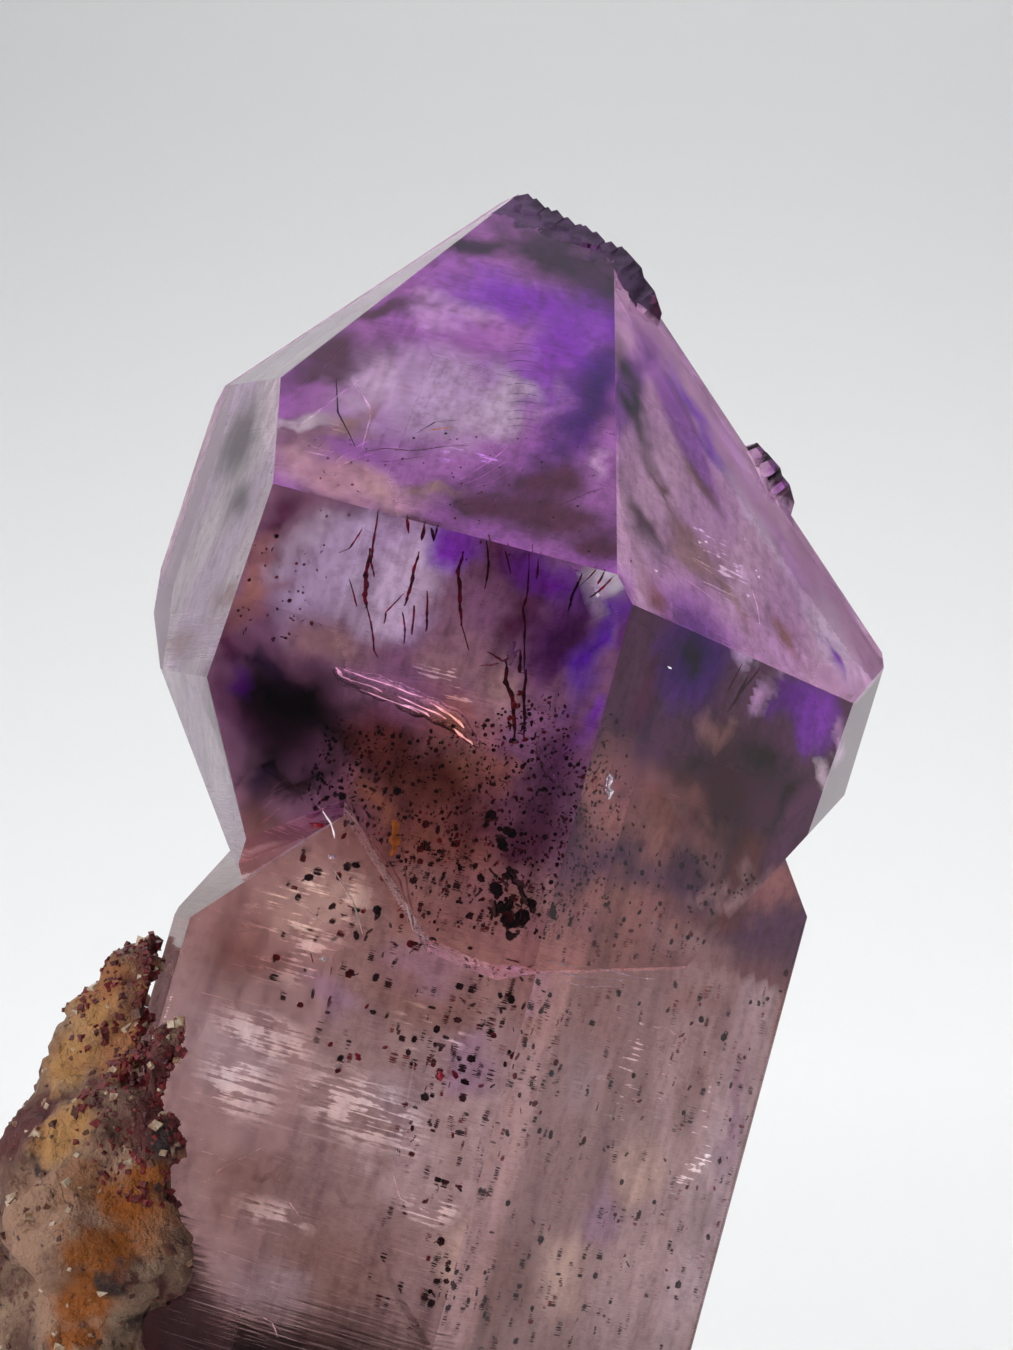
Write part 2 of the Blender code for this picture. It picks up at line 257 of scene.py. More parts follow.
class Shade:
    """A new material and short ways to make its nodes."""

    def __init__(self, name):
        self.material = bpy.data.materials.new(name)
        self.material.use_nodes = True
        self.tree = self.material.node_tree
        self.tree.nodes.clear()
        self.output = self.tree.nodes.new("ShaderNodeOutputMaterial")

    def feed(self, socket, value):
        """Link a varying value to an input, or set a constant on it."""
        if isinstance(value, Field):
            self.tree.links.new(value.socket, socket)
        elif isinstance(value, tuple):
            socket.default_value = (*value, 1.0)[:len(socket.default_value)]
        else:
            socket.default_value = value

    def node(self, kind, settings=None, inputs=None, result=0):
        node = self.tree.nodes.new(kind)
        for key, value in (settings or {}).items():
            setattr(node, key, value)
        for key, value in (inputs or {}).items():
            self.feed(node.inputs[key], value)
        return Field(self, node.outputs[result])

    def vectors(self, operation, inputs, result=0):
        return self.node("ShaderNodeVectorMath", {"operation": operation}, inputs, result)

    def place(self):
        """Position on the object in millimetres."""
        spot = self.node("ShaderNodeTexCoord", result="Object")
        return self.vectors("SCALE", {0: spot, "Scale": 1.0 / MM})

    def along(self, spot, direction):
        """How far a position lies along a direction."""
        return self.vectors("DOT_PRODUCT", {0: spot, 1: tuple(direction)}, "Value")

    def stretched(self, spot, side, front, up):
        """Crystal coordinates, each direction scaled on its own, for streaky patterns."""
        return self.node("ShaderNodeCombineXYZ", {}, {
            "X": self.along(spot, SIDE) * side,
            "Y": self.along(spot, TO_VIEWER) * front,
            "Z": self.along(spot, LONG_AXIS) * up,
        })

    def noise(self, spot, scale, detail=3.0, rough=0.5, warp=0.0):
        return self.node("ShaderNodeTexNoise", {}, {
            "Vector": spot, "Scale": scale, "Detail": detail, "Roughness": rough, "Distortion": warp,
        }, "Fac")

    def cells(self, spot, scale):
        """Distance to the nearest of many scattered points."""
        return self.node("ShaderNodeTexVoronoi", {}, {"Vector": spot, "Scale": scale}, "Distance")

    def warped(self, spot, scale, amount):
        """Positions pushed about by coloured noise, so that patterns get ragged edges."""
        push = self.node("ShaderNodeTexNoise", {}, {"Vector": spot, "Scale": scale, "Detail": 3.0}, "Color")
        centred = self.vectors("SUBTRACT", {0: push, 1: (0.5, 0.5, 0.5)})
        scaled = self.vectors("SCALE", {0: centred, "Scale": amount})
        return self.vectors("ADD", {0: spot, 1: scaled})

    def patch(self, spot, middle, radius, soft):
        """1 at a place, falling in a soft S to 0 at the radius."""
        gap = self.vectors("DISTANCE", {0: spot, 1: tuple(float(part) for part in middle)}, "Value")
        return 1.0 - gap.clear_step(radius * (1.0 - soft), radius)

    def corner_colour(self, name):
        """The colour stored on the mesh under a name."""
        return self.node("ShaderNodeVertexColor", {"layer_name": name}, {}, "Color")

    def blend(self, amount, first, second, kind="MIX"):
        """From the first colour to the second by an amount, or any other kind of Mix."""
        settings = {"data_type": "RGBA", "blend_type": kind}
        return self.node("ShaderNodeMix", settings, {"Factor": amount, 6: first, 7: second}, 2)

    def bump(self, height, distance, strength):
        inputs = {"Height": height, "Distance": distance, "Strength": strength}
        return self.node("ShaderNodeBump", {}, inputs, "Normal")

    def absorbing(self, seen, thickness):
        """Fill the inside with plain absorption that lets `seen` through after a thickness in mm."""
        loss = -np.log(np.clip(np.array(seen), 1e-4, 0.999)) / thickness
        density = float(loss.max())
        colour = (*(1.0 - loss / density).tolist(), 1.0)
        inputs = {"Color": colour, "Density": density / MM}
        self.feed(self.output.inputs["Volume"], self.node("ShaderNodeVolumeAbsorption", {}, inputs))

    def principled(self, **values):
        """The outer finish. In the names of its inputs a low line stands for a space."""
        inputs = {key.replace("_", " "): value for key, value in values.items()}
        self.feed(self.output.inputs["Surface"], self.node("ShaderNodeBsdfPrincipled", {}, inputs))


def rgb(red, green, blue):
    """A colour of a screen, 0 to 255, as the linear values that shaders use."""
    values = []
    for part in (red, green, blue):
        part = part / 255.0
        values.append(part / 12.92 if part <= 0.04045 else ((part + 0.055) / 1.055) ** 2.4)
    return tuple(values)


# %% [markdown]
# ## Small shape makers
#
# Everything inside the crystal is made from a few formula surfaces: rounded lumps, thin plates, tapered
# hairs and wavy sheets. Points are computed as whole arrays, in millimetres. Soft noise is a sum of sine
# waves. Tubes and balls are grids of points whose last column meets the first, closed at both ends.

# %% Shape helpers
WAVES = np.random.default_rng(5)
WAVE_WAYS = WAVES.normal(size=(24, 3))
WAVE_WAYS /= np.linalg.norm(WAVE_WAYS, axis=1)[:, None]
WAVE_STARTS = WAVES.uniform(0.0, 2.0 * math.pi, 24)


def soft_noise(points, size, seed=0):
    """Smooth noise, mostly from -1 to 1: ten sine waves of nearly one length in many directions, added."""
    total = np.zeros(len(points))
    for number in range(10):
        pick = (number * 7 + seed * 5) % 24
        length = size * (0.7 + 0.06 * ((number * 5 + seed) % 10))
        start = WAVE_STARTS[(pick + seed) % 24] * (1 + number)
        total += np.sin(points @ WAVE_WAYS[pick] * (2.0 * math.pi / length) + start)
    return total / 4.2


def smooth_step(values, low, high):
    """0 below low, 1 above high, and 3 t squared - 2 t cubed between them."""
    t = np.clip((values - low) / (high - low), 0.0, 1.0)
    return t * t * (3.0 - 2.0 * t)


def signed_volume(points, faces):
    """Sum of the tetrahedra from the first point to each fan triangle: positive when faces point out."""
    points = np.asarray(points, dtype=float) - points[0]
    fans = [(face[0], face[k], face[k + 1]) for face in faces for k in range(1, len(face) - 1)]
    a, b, c = (points[column] for column in np.array(fans).T)
    return float(np.einsum("ij,ij->i", a, np.cross(b, c)).sum() / 6.0)


def new_piece(name, points, faces, material, smooth=False):
    """An object from points in millimetres and a list of faces, riding on the one body."""
    if signed_volume(points, faces) < 0.0:
        faces = [list(face)[::-1] for face in faces]
        print("turned outward:", name)
    mesh = bpy.data.meshes.new(name)
    mesh.from_pydata((np.asarray(points) * MM).tolist(), [], [list(face) for face in faces])
    mesh.validate()
    piece = put(name, mesh)
    mesh.materials.append(material)
    if smooth:
        mesh.shade_smooth()
    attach(piece, "root")
    return piece


def store_colours(mesh, name, domain, colours):
    """Keep one colour for each point or face corner of a mesh, for its material to read."""
    layer = mesh.color_attributes.new(name, "FLOAT_COLOR", domain)
    layer.data.foreach_set("color", np.column_stack([colours, np.ones(len(colours))]).ravel())


def tube_faces(rows, sides):
    """Faces of a closed tube: rings of points one after the other, and a lid at each end."""
    index = np.arange(rows * sides).reshape(rows, sides)
    after = np.roll(index, -1, axis=1)
    faces = np.stack([index[:-1], after[:-1], after[1:], index[1:]], axis=-1).reshape(-1, 4)
    return faces.tolist() + [index[0][::-1].tolist(), index[-1].tolist()]


def ball_grid(rings, turns):
    """Unit ball as rings and turns: points plus faces, closed by a fan at each pole."""
    lean = np.linspace(0.0, math.pi, rings + 1)[1:-1]
    turn = np.arange(turns) * (2.0 * math.pi / turns)
    lean_grid, turn_grid = np.meshgrid(lean, turn, indexing="ij")
    ring_points = np.stack([
        np.sin(lean_grid) * np.cos(turn_grid),
        np.sin(lean_grid) * np.sin(turn_grid),
        np.cos(lean_grid),
    ], axis=-1).reshape(-1, 3)
    points = np.vstack([ring_points, [[0, 0, 1], [0, 0, -1]]])
    rows = rings - 1
    index = np.arange(rows * turns).reshape(rows, turns)
    after = np.roll(index, -1, axis=1)
    sides = np.stack([index[:-1], index[1:], after[1:], after[:-1]], axis=-1).reshape(-1, 4)
    top = rows * turns
    cap = [[top, index[0, k], after[0, k]] for k in range(turns)]
    foot = [[top + 1, after[-1, k], index[-1, k]] for k in range(turns)]
    return points, sides.tolist() + cap + foot


def gather(shapes):
    """Join several (points, faces) shapes to one."""
    all_points = []
    all_faces = []
    shift = 0
    for points, faces in shapes:
        all_points.append(points)
        all_faces += [[index + shift for index in face] for face in faces]
        shift += len(points)
    return np.vstack(all_points), all_faces


def copies(shape, matrices, middles):
    """Copies of one small shape as one: each is turned and sized by a matrix and moved to a middle."""
    points, faces = shape
    many = np.einsum("nij,pj->npi", matrices, points) + middles[:, None, :]
    return gather((copy, faces) for copy in many)


# %% [markdown]
# ## The stage
#
# A pale sweep runs from the floor up behind the crystal. The photograph is nearly white low down and pale
# grey at the top, so the sweep's paint darkens a little with height. Above the picture it is nearly white
# again: that part is the bright card whose light the quartz passes on to the viewer.


# %% Stage
def make_sweep():
    """Floor, rising quarter circle and wall as one sheet: a profile pushed sideways."""
    back = 150.0
    bend = 180.0
    reach = 900.0
    below = 0.02
    angle = np.linspace(0.0, math.pi / 2, 25)
    curve = np.stack([back + bend * np.sin(angle), bend - bend * np.cos(angle)], axis=1)
    profile = np.vstack([[[-700.0, 0.0], [-200.0, 0.0]], curve, [[back + bend, reach]]])
    sides = np.linspace(-reach, reach, 7)
    points = np.array([[side, y, z - below] for side in sides for y, z in profile])
    rows = len(profile)
    faces = [
        [a * rows + b, (a + 1) * rows + b, (a + 1) * rows + b + 1, a * rows + b + 1]
        for a in range(len(sides) - 1) for b in range(rows - 1)
    ]
    mesh = bpy.data.meshes.new("sweep")
    mesh.from_pydata((points * MM).tolist(), [], faces)
    mesh.shade_smooth()
    sweep = put("sweep", mesh)
    shade = Shade("pale sweep")
    height = shade.along(shade.place(), (0.0, 0.0, 1.0))
    grey = height.clear_step(-20.0, 120.0)
    paint = shade.blend(grey, (0.91, 0.915, 0.92), (0.63, 0.635, 0.64))
    paint = shade.blend(height.clear_step(220.0, 320.0), paint, (0.97, 0.97, 0.97))
    shade.principled(Base_Color=paint, Roughness=0.9)
    mesh.materials.append(shade.material)
    print("sweep faces:", len(faces))


make_sweep()

# %% [markdown]
# ## Light
#
# Large soft lamps light the crystal from above, from the left and from behind. The room itself is
# brightest behind the crystal, so that the quartz glows.

# %% Light
# Each lamp's place and target in metres, width in metres and power in watts.
LAMPS = {
    "overhead softbox": ((0.05, 0.42, 0.55), (0.0, 0.15, 0.0), 0.5, 5.0),
    "left softbox": ((-0.35, -0.25, 0.25), (0.0, 0.0, 0.03), 0.25, 1.2),
    "back softbox": ((0.04, 0.25, 0.24), (0.0, 0.0, 0.03), 0.26, 0.3),
}


def make_lamps():
    for name, (place, target, size, power) in LAMPS.items():
        lamp = bpy.data.lights.new(name, "AREA")
        lamp.shape = "DISK"
        lamp.size = size
        lamp.energy = power
        item = put(name, lamp)
        item.location = place
        item.rotation_euler = (Vector(target) - Vector(place)).to_track_quat("-Z", "Y").to_euler()


def make_room():
    """Soft light from all round: weak from in front (Y below -0.15), strong from behind (above 0.65)."""
    world = bpy.data.worlds.new("soft room")
    world.use_nodes = True
    tree = world.node_tree
    where = tree.nodes.new("ShaderNodeSeparateXYZ")
    ramp = tree.nodes.new("ShaderNodeMapRange")
    ramp.interpolation_type = "SMOOTHSTEP"
    for name, value in (("From Min", -0.15), ("From Max", 0.65), ("To Min", 0.15), ("To Max", 1.95)):
        ramp.inputs[name].default_value = value
    way = tree.nodes.new("ShaderNodeTexCoord")
    tree.links.new(way.outputs["Generated"], where.inputs[0])
    tree.links.new(where.outputs["Y"], ramp.inputs["Value"])
    tree.links.new(ramp.outputs["Result"], tree.nodes["Background"].inputs["Strength"])
    tree.nodes["Background"].inputs["Color"].default_value = (0.97, 0.98, 1.0, 1.0)
    bpy.context.scene.world = world


def set_light_paths():
    """Enough bounces to cross the clear quartz and the small things in it, and no more."""
    paths = bpy.context.scene.cycles
    paths.max_bounces = 8
    paths.transmission_bounces = 8
    paths.diffuse_bounces = 2
    paths.glossy_bounces = 3
    paths.transparent_max_bounces = 6


make_lamps()
make_room()
set_light_paths()
bpy.context.scene.view_settings.view_transform = "Standard"
print("lamps:", len(LAMPS), "bounces:", bpy.context.scene.cycles.max_bounces)

# %% [markdown]
# ## Stains under the faces
#
# The photograph shows soft clouds of many shades right under the faces. Here they are stains: soft
# patches laid on each face, one over the other. Each has a shade, a place in the photograph, a
# size and a turn.

# %% Shades and patches
# The look of each shade, as a screen shows it.
PALETTE = {
    "clear": (232, 206, 226), "orchid": (160, 100, 166), "haze": (186, 148, 176),
    "lavender": (250, 176, 255), "pale": (206, 186, 190), "lilac": (206, 158, 212),
    "rose": (250, 176, 222), "blush": (255, 186, 240), "dusty": (206, 158, 158),
    "violet": (130, 50, 174), "deep violet": (98, 16, 130), "blue violet": (92, 34, 150),
    "mauve": (132, 94, 114), "dusk": (86, 50, 74), "wine": (88, 38, 68), "plum": (50, 30, 58),
    "night": (44, 4, 50), "soot": (34, 10, 14), "smoke": (154, 120, 118), "olive": (132, 102, 88),
    "brown": (152, 104, 94), "umber": (100, 54, 50), "ink": (20, 4, 10), "peach": (172, 124, 106),
    "stem": (158, 128, 124), "stem light": (188, 160, 158), "stem shade": (140, 108, 100),
    "stem grey": (164, 140, 140), "stem lilac": (162, 130, 146), "cream": (204, 168, 154),
    "stem dark": (112, 80, 76), "stem pale": (206, 176, 178),
}

# For each face: the shade it has elsewhere, then patches as shade, photo place, half width and half
# height in mm, and turn in degrees.
PAINTS = {
    "front roof": ("orchid", (
        ("rose", 425, 395, 2.9, 2.4, 0), ("lilac", 445, 310, 1.3, 1.1, 0),
        ("dusk", 335, 350, 1.3, 2.3, -40), ("dusk", 322, 375, 0.6, 1.8, -40),
        ("mauve", 300, 440, 1.4, 1.5, 0), ("pale", 300, 425, 1.4, 0.35, 35),
        ("smoke", 350, 425, 0.5, 1.2, -25), ("violet", 530, 300, 3.4, 1.5, 4),
        ("violet", 562, 350, 1.9, 3.4, 0), ("rose", 500, 400, 0.9, 1.3, 0),
        ("deep violet", 592, 410, 1.0, 5.4, -2), ("violet", 612, 325, 0.4, 1.0, 0),
        ("lilac", 553, 400, 0.35, 1.1, 0), ("dusty", 350, 482, 2.6, 0.9, -8),
        ("wine", 545, 515, 3.0, 1.9, -12), ("wine", 600, 550, 0.9, 1.0, 0),
        ("wine", 480, 505, 1.8, 1.3, 0), ("wine", 555, 478, 1.2, 1.2, 0),
        ("wine", 420, 522, 1.8, 0.6, -12), ("smoke", 428, 490, 0.9, 0.4, 0),
        ("mauve", 330, 498, 1.1, 0.4, -12), ("lilac", 604, 468, 0.35, 0.8, 0),
        ("plum", 560, 256, 4.2, 2.1, -22), ("plum", 622, 290, 1.5, 1.8, 0),
        ("plum", 460, 248, 2.6, 0.9, 33), ("dusk", 370, 312, 2.8, 0.5, 36),
    )),
    "front": ("mauve", (
        ("blush", 325, 570, 1.3, 2.1, -20), ("blush", 352, 530, 0.9, 0.8, 0),
        ("rose", 400, 560, 1.4, 1.6, 0), ("rose", 392, 605, 1.2, 0.9, 0),
        ("wine", 278, 520, 0.7, 1.6, -14), ("brown", 252, 590, 0.7, 1.6, -16),
        ("wine", 236, 645, 0.7, 1.2, -16), ("violet", 448, 545, 0.7, 1.0, 0),
        ("wine", 500, 560, 1.9, 0.8, -16), ("deep violet", 550, 582, 1.6, 0.7, -16),
        ("wine", 520, 612, 0.9, 1.3, -20), ("dusk", 560, 645, 0.9, 1.6, -20),
        ("clear", 608, 586, 0.55, 0.9, -20), ("blue violet", 600, 650, 0.5, 2.4, -15),
        ("violet", 590, 722, 0.35, 1.0, -15), ("smoke", 335, 640, 1.5, 0.7, 0),
        ("mauve", 385, 650, 1.2, 0.8, 0), ("smoke", 455, 655, 1.5, 1.1, 0),
        ("ink", 292, 708, 2.8, 1.2, -8), ("ink", 272, 765, 1.5, 1.6, -10),
        ("ink", 350, 742, 2.0, 0.7, -20), ("plum", 262, 812, 0.8, 1.4, -14),
        ("ink", 296, 692, 2.2, 1.1, -6), ("ink", 240, 700, 0.9, 0.8, 0),
        ("umber", 390, 742, 1.5, 0.6, -14), ("deep violet", 226, 688, 0.6, 0.5, 0),
        ("plum", 262, 664, 1.3, 0.35, -10), ("umber", 405, 772, 2.2, 1.0, -12),
        ("brown", 455, 722, 1.2, 1.2, -30), ("umber", 455, 775, 0.9, 0.8, 0),
        ("soot", 308, 778, 1.2, 0.7, 30), ("dusk", 560, 765, 1.3, 1.8, -14),
        ("dusk", 545, 825, 1.3, 1.3, 0), ("brown", 440, 850, 2.6, 1.8, 0),
        ("smoke", 425, 890, 1.1, 0.7, 0), ("wine", 520, 850, 0.9, 0.9, 0),
        ("umber", 508, 905, 0.7, 0.7, 0), ("smoke", 565, 905, 1.5, 1.0, 0),
        ("smoke", 500, 690, 0.6, 1.2, -10), ("peach", 490, 770, 0.9, 0.7, 0),
        ("peach", 372, 800, 0.8, 0.4, -30), ("smoke", 470, 950, 1.8, 0.6, -10),
        ("brown", 610, 950, 1.6, 0.7, 0),
    )),
    "right": ("dusk", (
        ("plum", 650, 700, 0.8, 2.2, -14), ("deep violet", 690, 655, 1.8, 1.6, -15),
        ("night", 692, 655, 1.1, 0.9, 0), ("wine", 650, 690, 0.7, 2.0, -14),
        ("rose", 742, 650, 0.5, 0.7, 0), ("lilac", 764, 692, 0.4, 0.7, -25),
        ("violet", 815, 712, 1.5, 0.9, -28), ("deep violet", 790, 700, 0.9, 0.7, -28),
        ("lilac", 846, 745, 0.8, 0.4, -20), ("soot", 765, 762, 2.0, 0.8, -4),
        ("soot", 695, 770, 1.6, 0.35, 14), ("soot", 785, 805, 0.5, 1.8, -30),
        ("brown", 655, 815, 1.8, 1.4, 0), ("smoke", 700, 845, 1.4, 0.7, 0),
        # The pale patch at 822, 772 is a painted highlight.
        ("wine", 845, 788, 0.6, 0.8, -20), ("pale", 822, 772, 0.5, 0.4, 0),
        ("brown", 605, 800, 1.2, 1.5, 0), ("umber", 745, 865, 0.8, 1.4, -35),
        ("smoke", 712, 728, 1.0, 0.4, 20), ("smoke", 690, 800, 2.2, 0.3, -10),
        ("brown", 640, 915, 3.0, 1.1, 0), ("umber", 730, 920, 2.0, 1.0, 30),
        ("brown", 790, 890, 1.4, 1.0, 30), ("smoke", 700, 950, 2.6, 0.5, 0),
        ("smoke", 745, 895, 1.6, 0.2, 38), ("smoke", 715, 890, 1.5, 0.16, 38),
    )),
    "right roof": ("haze", (
        ("plum", 634, 400, 0.7, 3.2, -3), ("dusk", 640, 520, 0.8, 1.6, 0),
        ("violet", 690, 400, 0.7, 1.9, 25), ("violet", 714, 452, 0.6, 1.4, 25),
        ("lilac", 738, 455, 0.5, 1.6, 25), ("smoke", 695, 555, 2.0, 1.4, 0),
        ("brown", 655, 592, 0.9, 0.9, 0), ("rose", 760, 525, 0.9, 2.2, 25),
        ("olive", 700, 480, 0.6, 1.6, 25), ("lavender", 828, 635, 1.3, 2.4, 20),
        ("lavender", 848, 590, 0.7, 1.6, 25), ("umber", 668, 500, 0.5, 1.8, 15),
        ("brown", 782, 635, 0.6, 1.1, 20), ("lilac", 792, 560, 0.6, 1.2, 25),
        ("smoke", 735, 600, 0.4, 1.6, 25), ("plum", 672, 330, 0.8, 0.8, 0),
        ("violet", 838, 665, 0.5, 0.9, 20),
    )),
    "left": ("pale", (
        ("dusk", 240, 440, 3.0, 2.0, 0), ("dusk", 238, 505, 2.0, 1.0, 0),
        ("smoke", 182, 640, 3.0, 0.7, 0), ("smoke", 225, 600, 2.0, 0.9, 0),
    )),
    "stem front": ("stem", (
        ("stem dark", 248, 955, 1.6, 1.6, 0), ("cream", 320, 900, 1.6, 1.2, 30),
        ("stem shade", 420, 1000, 1.8, 1.1, 0), ("stem shade", 240, 1180, 1.5, 1.2, 0),
        ("stem shade", 330, 1270, 2.6, 2.0, 0), ("stem light", 420, 1130, 0.9, 2.4, 10),
        ("brown", 415, 900, 0.9, 0.9, 30), ("smoke", 560, 985, 2.4, 0.6, 0),
        ("stem light", 380, 1180, 1.0, 0.4, -10), ("stem light", 480, 1130, 0.8, 3.5, 10),
        ("stem grey", 400, 1095, 1.4, 0.8, -10), ("stem grey", 230, 1050, 1.6, 1.0, -10),
        ("stem lilac", 430, 965, 1.5, 0.9, 0), ("stem lilac", 330, 1000, 1.3, 0.6, -10),
        ("stem lilac", 470, 1060, 0.9, 0.9, 0), ("cream", 470, 1250, 0.8, 1.4, 10),
        ("stem grey", 260, 1290, 1.6, 0.9, 0),
    )),
    "stem right": ("stem", (
        ("stem light", 700, 1080, 3.2, 4.5, 10), ("stem light", 640, 1290, 2.4, 3.0, 0),
        ("stem pale", 752, 1040, 1.3, 5.2, 0), ("stem pale", 708, 1210, 1.3, 4.6, 0),
        ("stem shade", 520, 1010, 1.4, 1.4, 0), ("stem shade", 500, 1290, 1.6, 2.2, 0),
        ("stem", 620, 1100, 1.6, 1.6, 0), ("stem", 690, 1090, 0.6, 2.0, 12),
        ("stem", 560, 1180, 0.7, 2.4, 10), ("smoke", 700, 1000, 2.0, 0.6, -4),
        ("stem grey", 580, 1080, 1.2, 1.2, 0), ("stem grey", 650, 1010, 1.4, 0.9, 0),
        ("stem lilac", 520, 985, 1.4, 0.8, 0), ("stem lilac", 735, 1110, 0.6, 2.6, 12),
        ("cream", 560, 1275, 1.1, 1.2, 0), ("cream", 640, 1170, 1.4, 1.0, 0),
        ("stem lilac", 600, 1220, 1.2, 0.9, 0), ("stem grey", 700, 1220, 1.0, 1.6, 10),
    )),
}

print("patches:", sum(len(patches) for _, patches in PAINTS.values()))

# %% [markdown]
# ## A colour for each corner
#
# The stains are worked out for each corner of the quartz body's small triangles and kept on its mesh as
# the colour "stain". Soft noise pushes the corners about first, so that the patches get ragged edges.
# Faces that the photograph doesn't show are evenly pale violet or grey.


# %% Colour of each corner
# How bright light from behind looks through unstained quartz, 0 to 1.
GLOW = 0.57

# Base colours of the faces that the photograph doesn't show, and how much darker those are that look
# straight back, 0 to 1: a painted shade that evens out the glow through the back.
PALE_VIOLET = np.array([0.90, 0.84, 0.93])
DEEP_VIOLET = np.array([0.72, 0.56, 0.84])
STEM_GREY = np.array([0.88, 0.83, 0.85])
BACK_PAINTED_SHADE = 0.42

# Heights along the long axis from the middle of the head, in mm: where the stem's faces end, where the
# head's faces end, and where a corner on neither's plane passes from one to the other.
STEM_TOP = -9.0
HEAD_FOOT = -13.5
NECK = -10.8

# How near a corner is to the plane of the face that it lies on, in mm, and how far faces may look away
# from the viewer and still take patches, as a cosine.
ON_PLANE = 0.12
SIDE_ON = -0.12


def stain(name):
    """The base colour of a shade. A face passes the square root of its base colour, so this is a square."""
    return np.array([min(1.0, part / GLOW) ** 2 for part in rgb(*PALETTE[name])])


def face_patch(points, face, across, down, half_width, half_height, turn):
    """1 at a photo place on a face, falling in a soft S to 0 at the rim of a turned ellipse."""
    _, sideways, upward = face_axes(face)
    gap = points - on_face(across, down, face)
    x, y = gap @ sideways, gap @ upward
    angle = math.radians(turn)
    along = (x * math.cos(angle) + y * math.sin(angle)) / half_width
    across_it = (y * math.cos(angle) - x * math.sin(angle)) / half_height
    return 1.0 - smooth_step(np.hypot(along, across_it), 0.25, 1.35)


def stained_corners(points, outward):
    """Colour of each face corner: violet clouds on the head, paler stem, own patches on each front face.

    A corner takes the patches of the face whose plane it lies on, or else of the face its normal is
    closest to. Head and stem both turn brown towards the neck. Faces that look straight back get a
    little painted shade, so that all of the back glows alike.
    """
    up = (points - HEAD_MIDDLE) @ LONG_AXIS
    clouds = smooth_step(soft_noise(points, 6.0, 6), -0.3, 0.5)[:, None]
    head = PALE_VIOLET * (1 - clouds) + DEEP_VIOLET * clouds
    on_head = smooth_step(up, -9.5, -6.0)[:, None]
    total = STEM_GREY * (1 - on_head) + head * on_head
    # Faces that look straight back are darkened: painted shade that evens out their glow.
    behind = smooth_step(-(outward @ TO_VIEWER), 0.72, 0.97)[:, None]
    total = total * (1.0 - BACK_PAINTED_SHADE * behind)
    push = [0.34 * soft_noise(points, 2.2, k) + 0.20 * soft_noise(points, 0.9, k + 4) for k in (1, 2, 3)]
    ragged = points + np.stack(push, axis=1)
    scores = []
    for face in PAINTS:
        middle, azimuth, tilt, distance = FACES[face]
        out = face_direction(azimuth, tilt)
        near = np.abs((points - middle) @ out - distance) < ON_PLANE
        if face.startswith("stem"):
            scores.append(outward @ out + near * (up < STEM_TOP) - 2.0 * (up > NECK) * ~near)
        else:
            scores.append(outward @ out + near * (up > HEAD_FOOT) - 2.0 * (up < NECK) * ~near)
    owner = np.argmax(scores, axis=0)
    facing = outward @ TO_VIEWER > SIDE_ON
    for number, (face, (elsewhere, patches)) in enumerate(PAINTS.items()):
        chosen = facing & (owner == number)
        colour = np.tile(stain(elsewhere), (int(chosen.sum()), 1))
        for name, *place in patches:
            mask = face_patch(ragged[chosen], face, *place)[:, None]
            colour = colour * (1 - mask) + stain(name) * mask
        height = up[chosen, None]
        if face.startswith("stem"):
            hem = 0.55 * smooth_step(height, -14.5, -11.0)
        else:
            hem = 0.80 * (1.0 - smooth_step(height, -10.5, -7.5))
        total[chosen] = colour * (1 - hem) + stain("brown") * hem
    return total


print("base colour of the violet stain:", np.round(stain("violet"), 3))

# %% [markdown]
# ## Clear quartz and broken quartz
#
# The quartz is see-through by plain transmission, with its own index and a little absorption. Its stem
# carries fine grooves across the long axis. Faces at the back are frosted, so that their edges don't
# show through the front. The broken crest is rough and dark.


# %% Quartz and crest materials
def quartz_material():
    """Clear quartz under its stains: smooth, but frosted at the back and finely grooved on the stem."""
    shade = Shade("clear quartz")
    spot = shade.place()
    grooves = shade.noise(shade.stretched(spot, 0.35, 0.35, 7.0), 1.0, 2.0, 0.6)
    up = shade.along(spot, LONG_AXIS) - float(HEAD_MIDDLE @ LONG_AXIS)
    on_stem = 1.0 - up.clear_step(-9.5, -7.0)
    behind = float(HEAD_MIDDLE @ TO_VIEWER) - shade.along(spot, TO_VIEWER)
    on_back = behind.clear_step(1.4, 2.2)
    on_top = up.clear_step(5.0, 7.0)
    streaks = shade.noise(shade.stretched(spot, 1.3, 1.3, 0.25), 1.0, 3.0, 0.65).clear_step(0.30, 0.60)
    fine = shade.noise(spot, 2.8, 3.0, 0.65).clear_step(0.30, 0.58)
    tint = shade.corner_colour("stain")
    for pattern, dark in ((streaks, (0.50, 0.44, 0.48)), (fine, (0.50, 0.42, 0.46))):
        tint = shade.blend(0.7, tint, shade.blend(pattern, dark, (1.0, 1.0, 1.0)), "MULTIPLY")
    rough = 0.015 + on_stem * 0.06 + on_back * (0.75 + on_top * 0.2)
    shade.principled(
        Base_Color=tint, Roughness=rough, IOR=QUARTZ_IOR, Transmission_Weight=1.0,
        Specular_Tint=(0.6, 0.55, 0.6), Normal=shade.bump(grooves * (0.15 + on_stem * 0.85), 0.00006, 0.35),
    )
    shade.absorbing((0.96, 0.92, 0.95), 17.0)
    return shade.material


def crest_material():
    """Rough broken quartz: dark plum, nearly without gloss."""
    shade = Shade("dark crest")
    patch = shade.noise(shade.place(), 1.6, 4.0, 0.6).clear_step(0.35, 0.65)
    shade.principled(
        Base_Color=shade.blend(patch, (0.030, 0.014, 0.040), (0.10, 0.045, 0.13)), Roughness=0.8,
        Specular_IOR_Level=0.15, Transmission_Weight=0.35, IOR=QUARTZ_IOR,
    )
    return shade.material


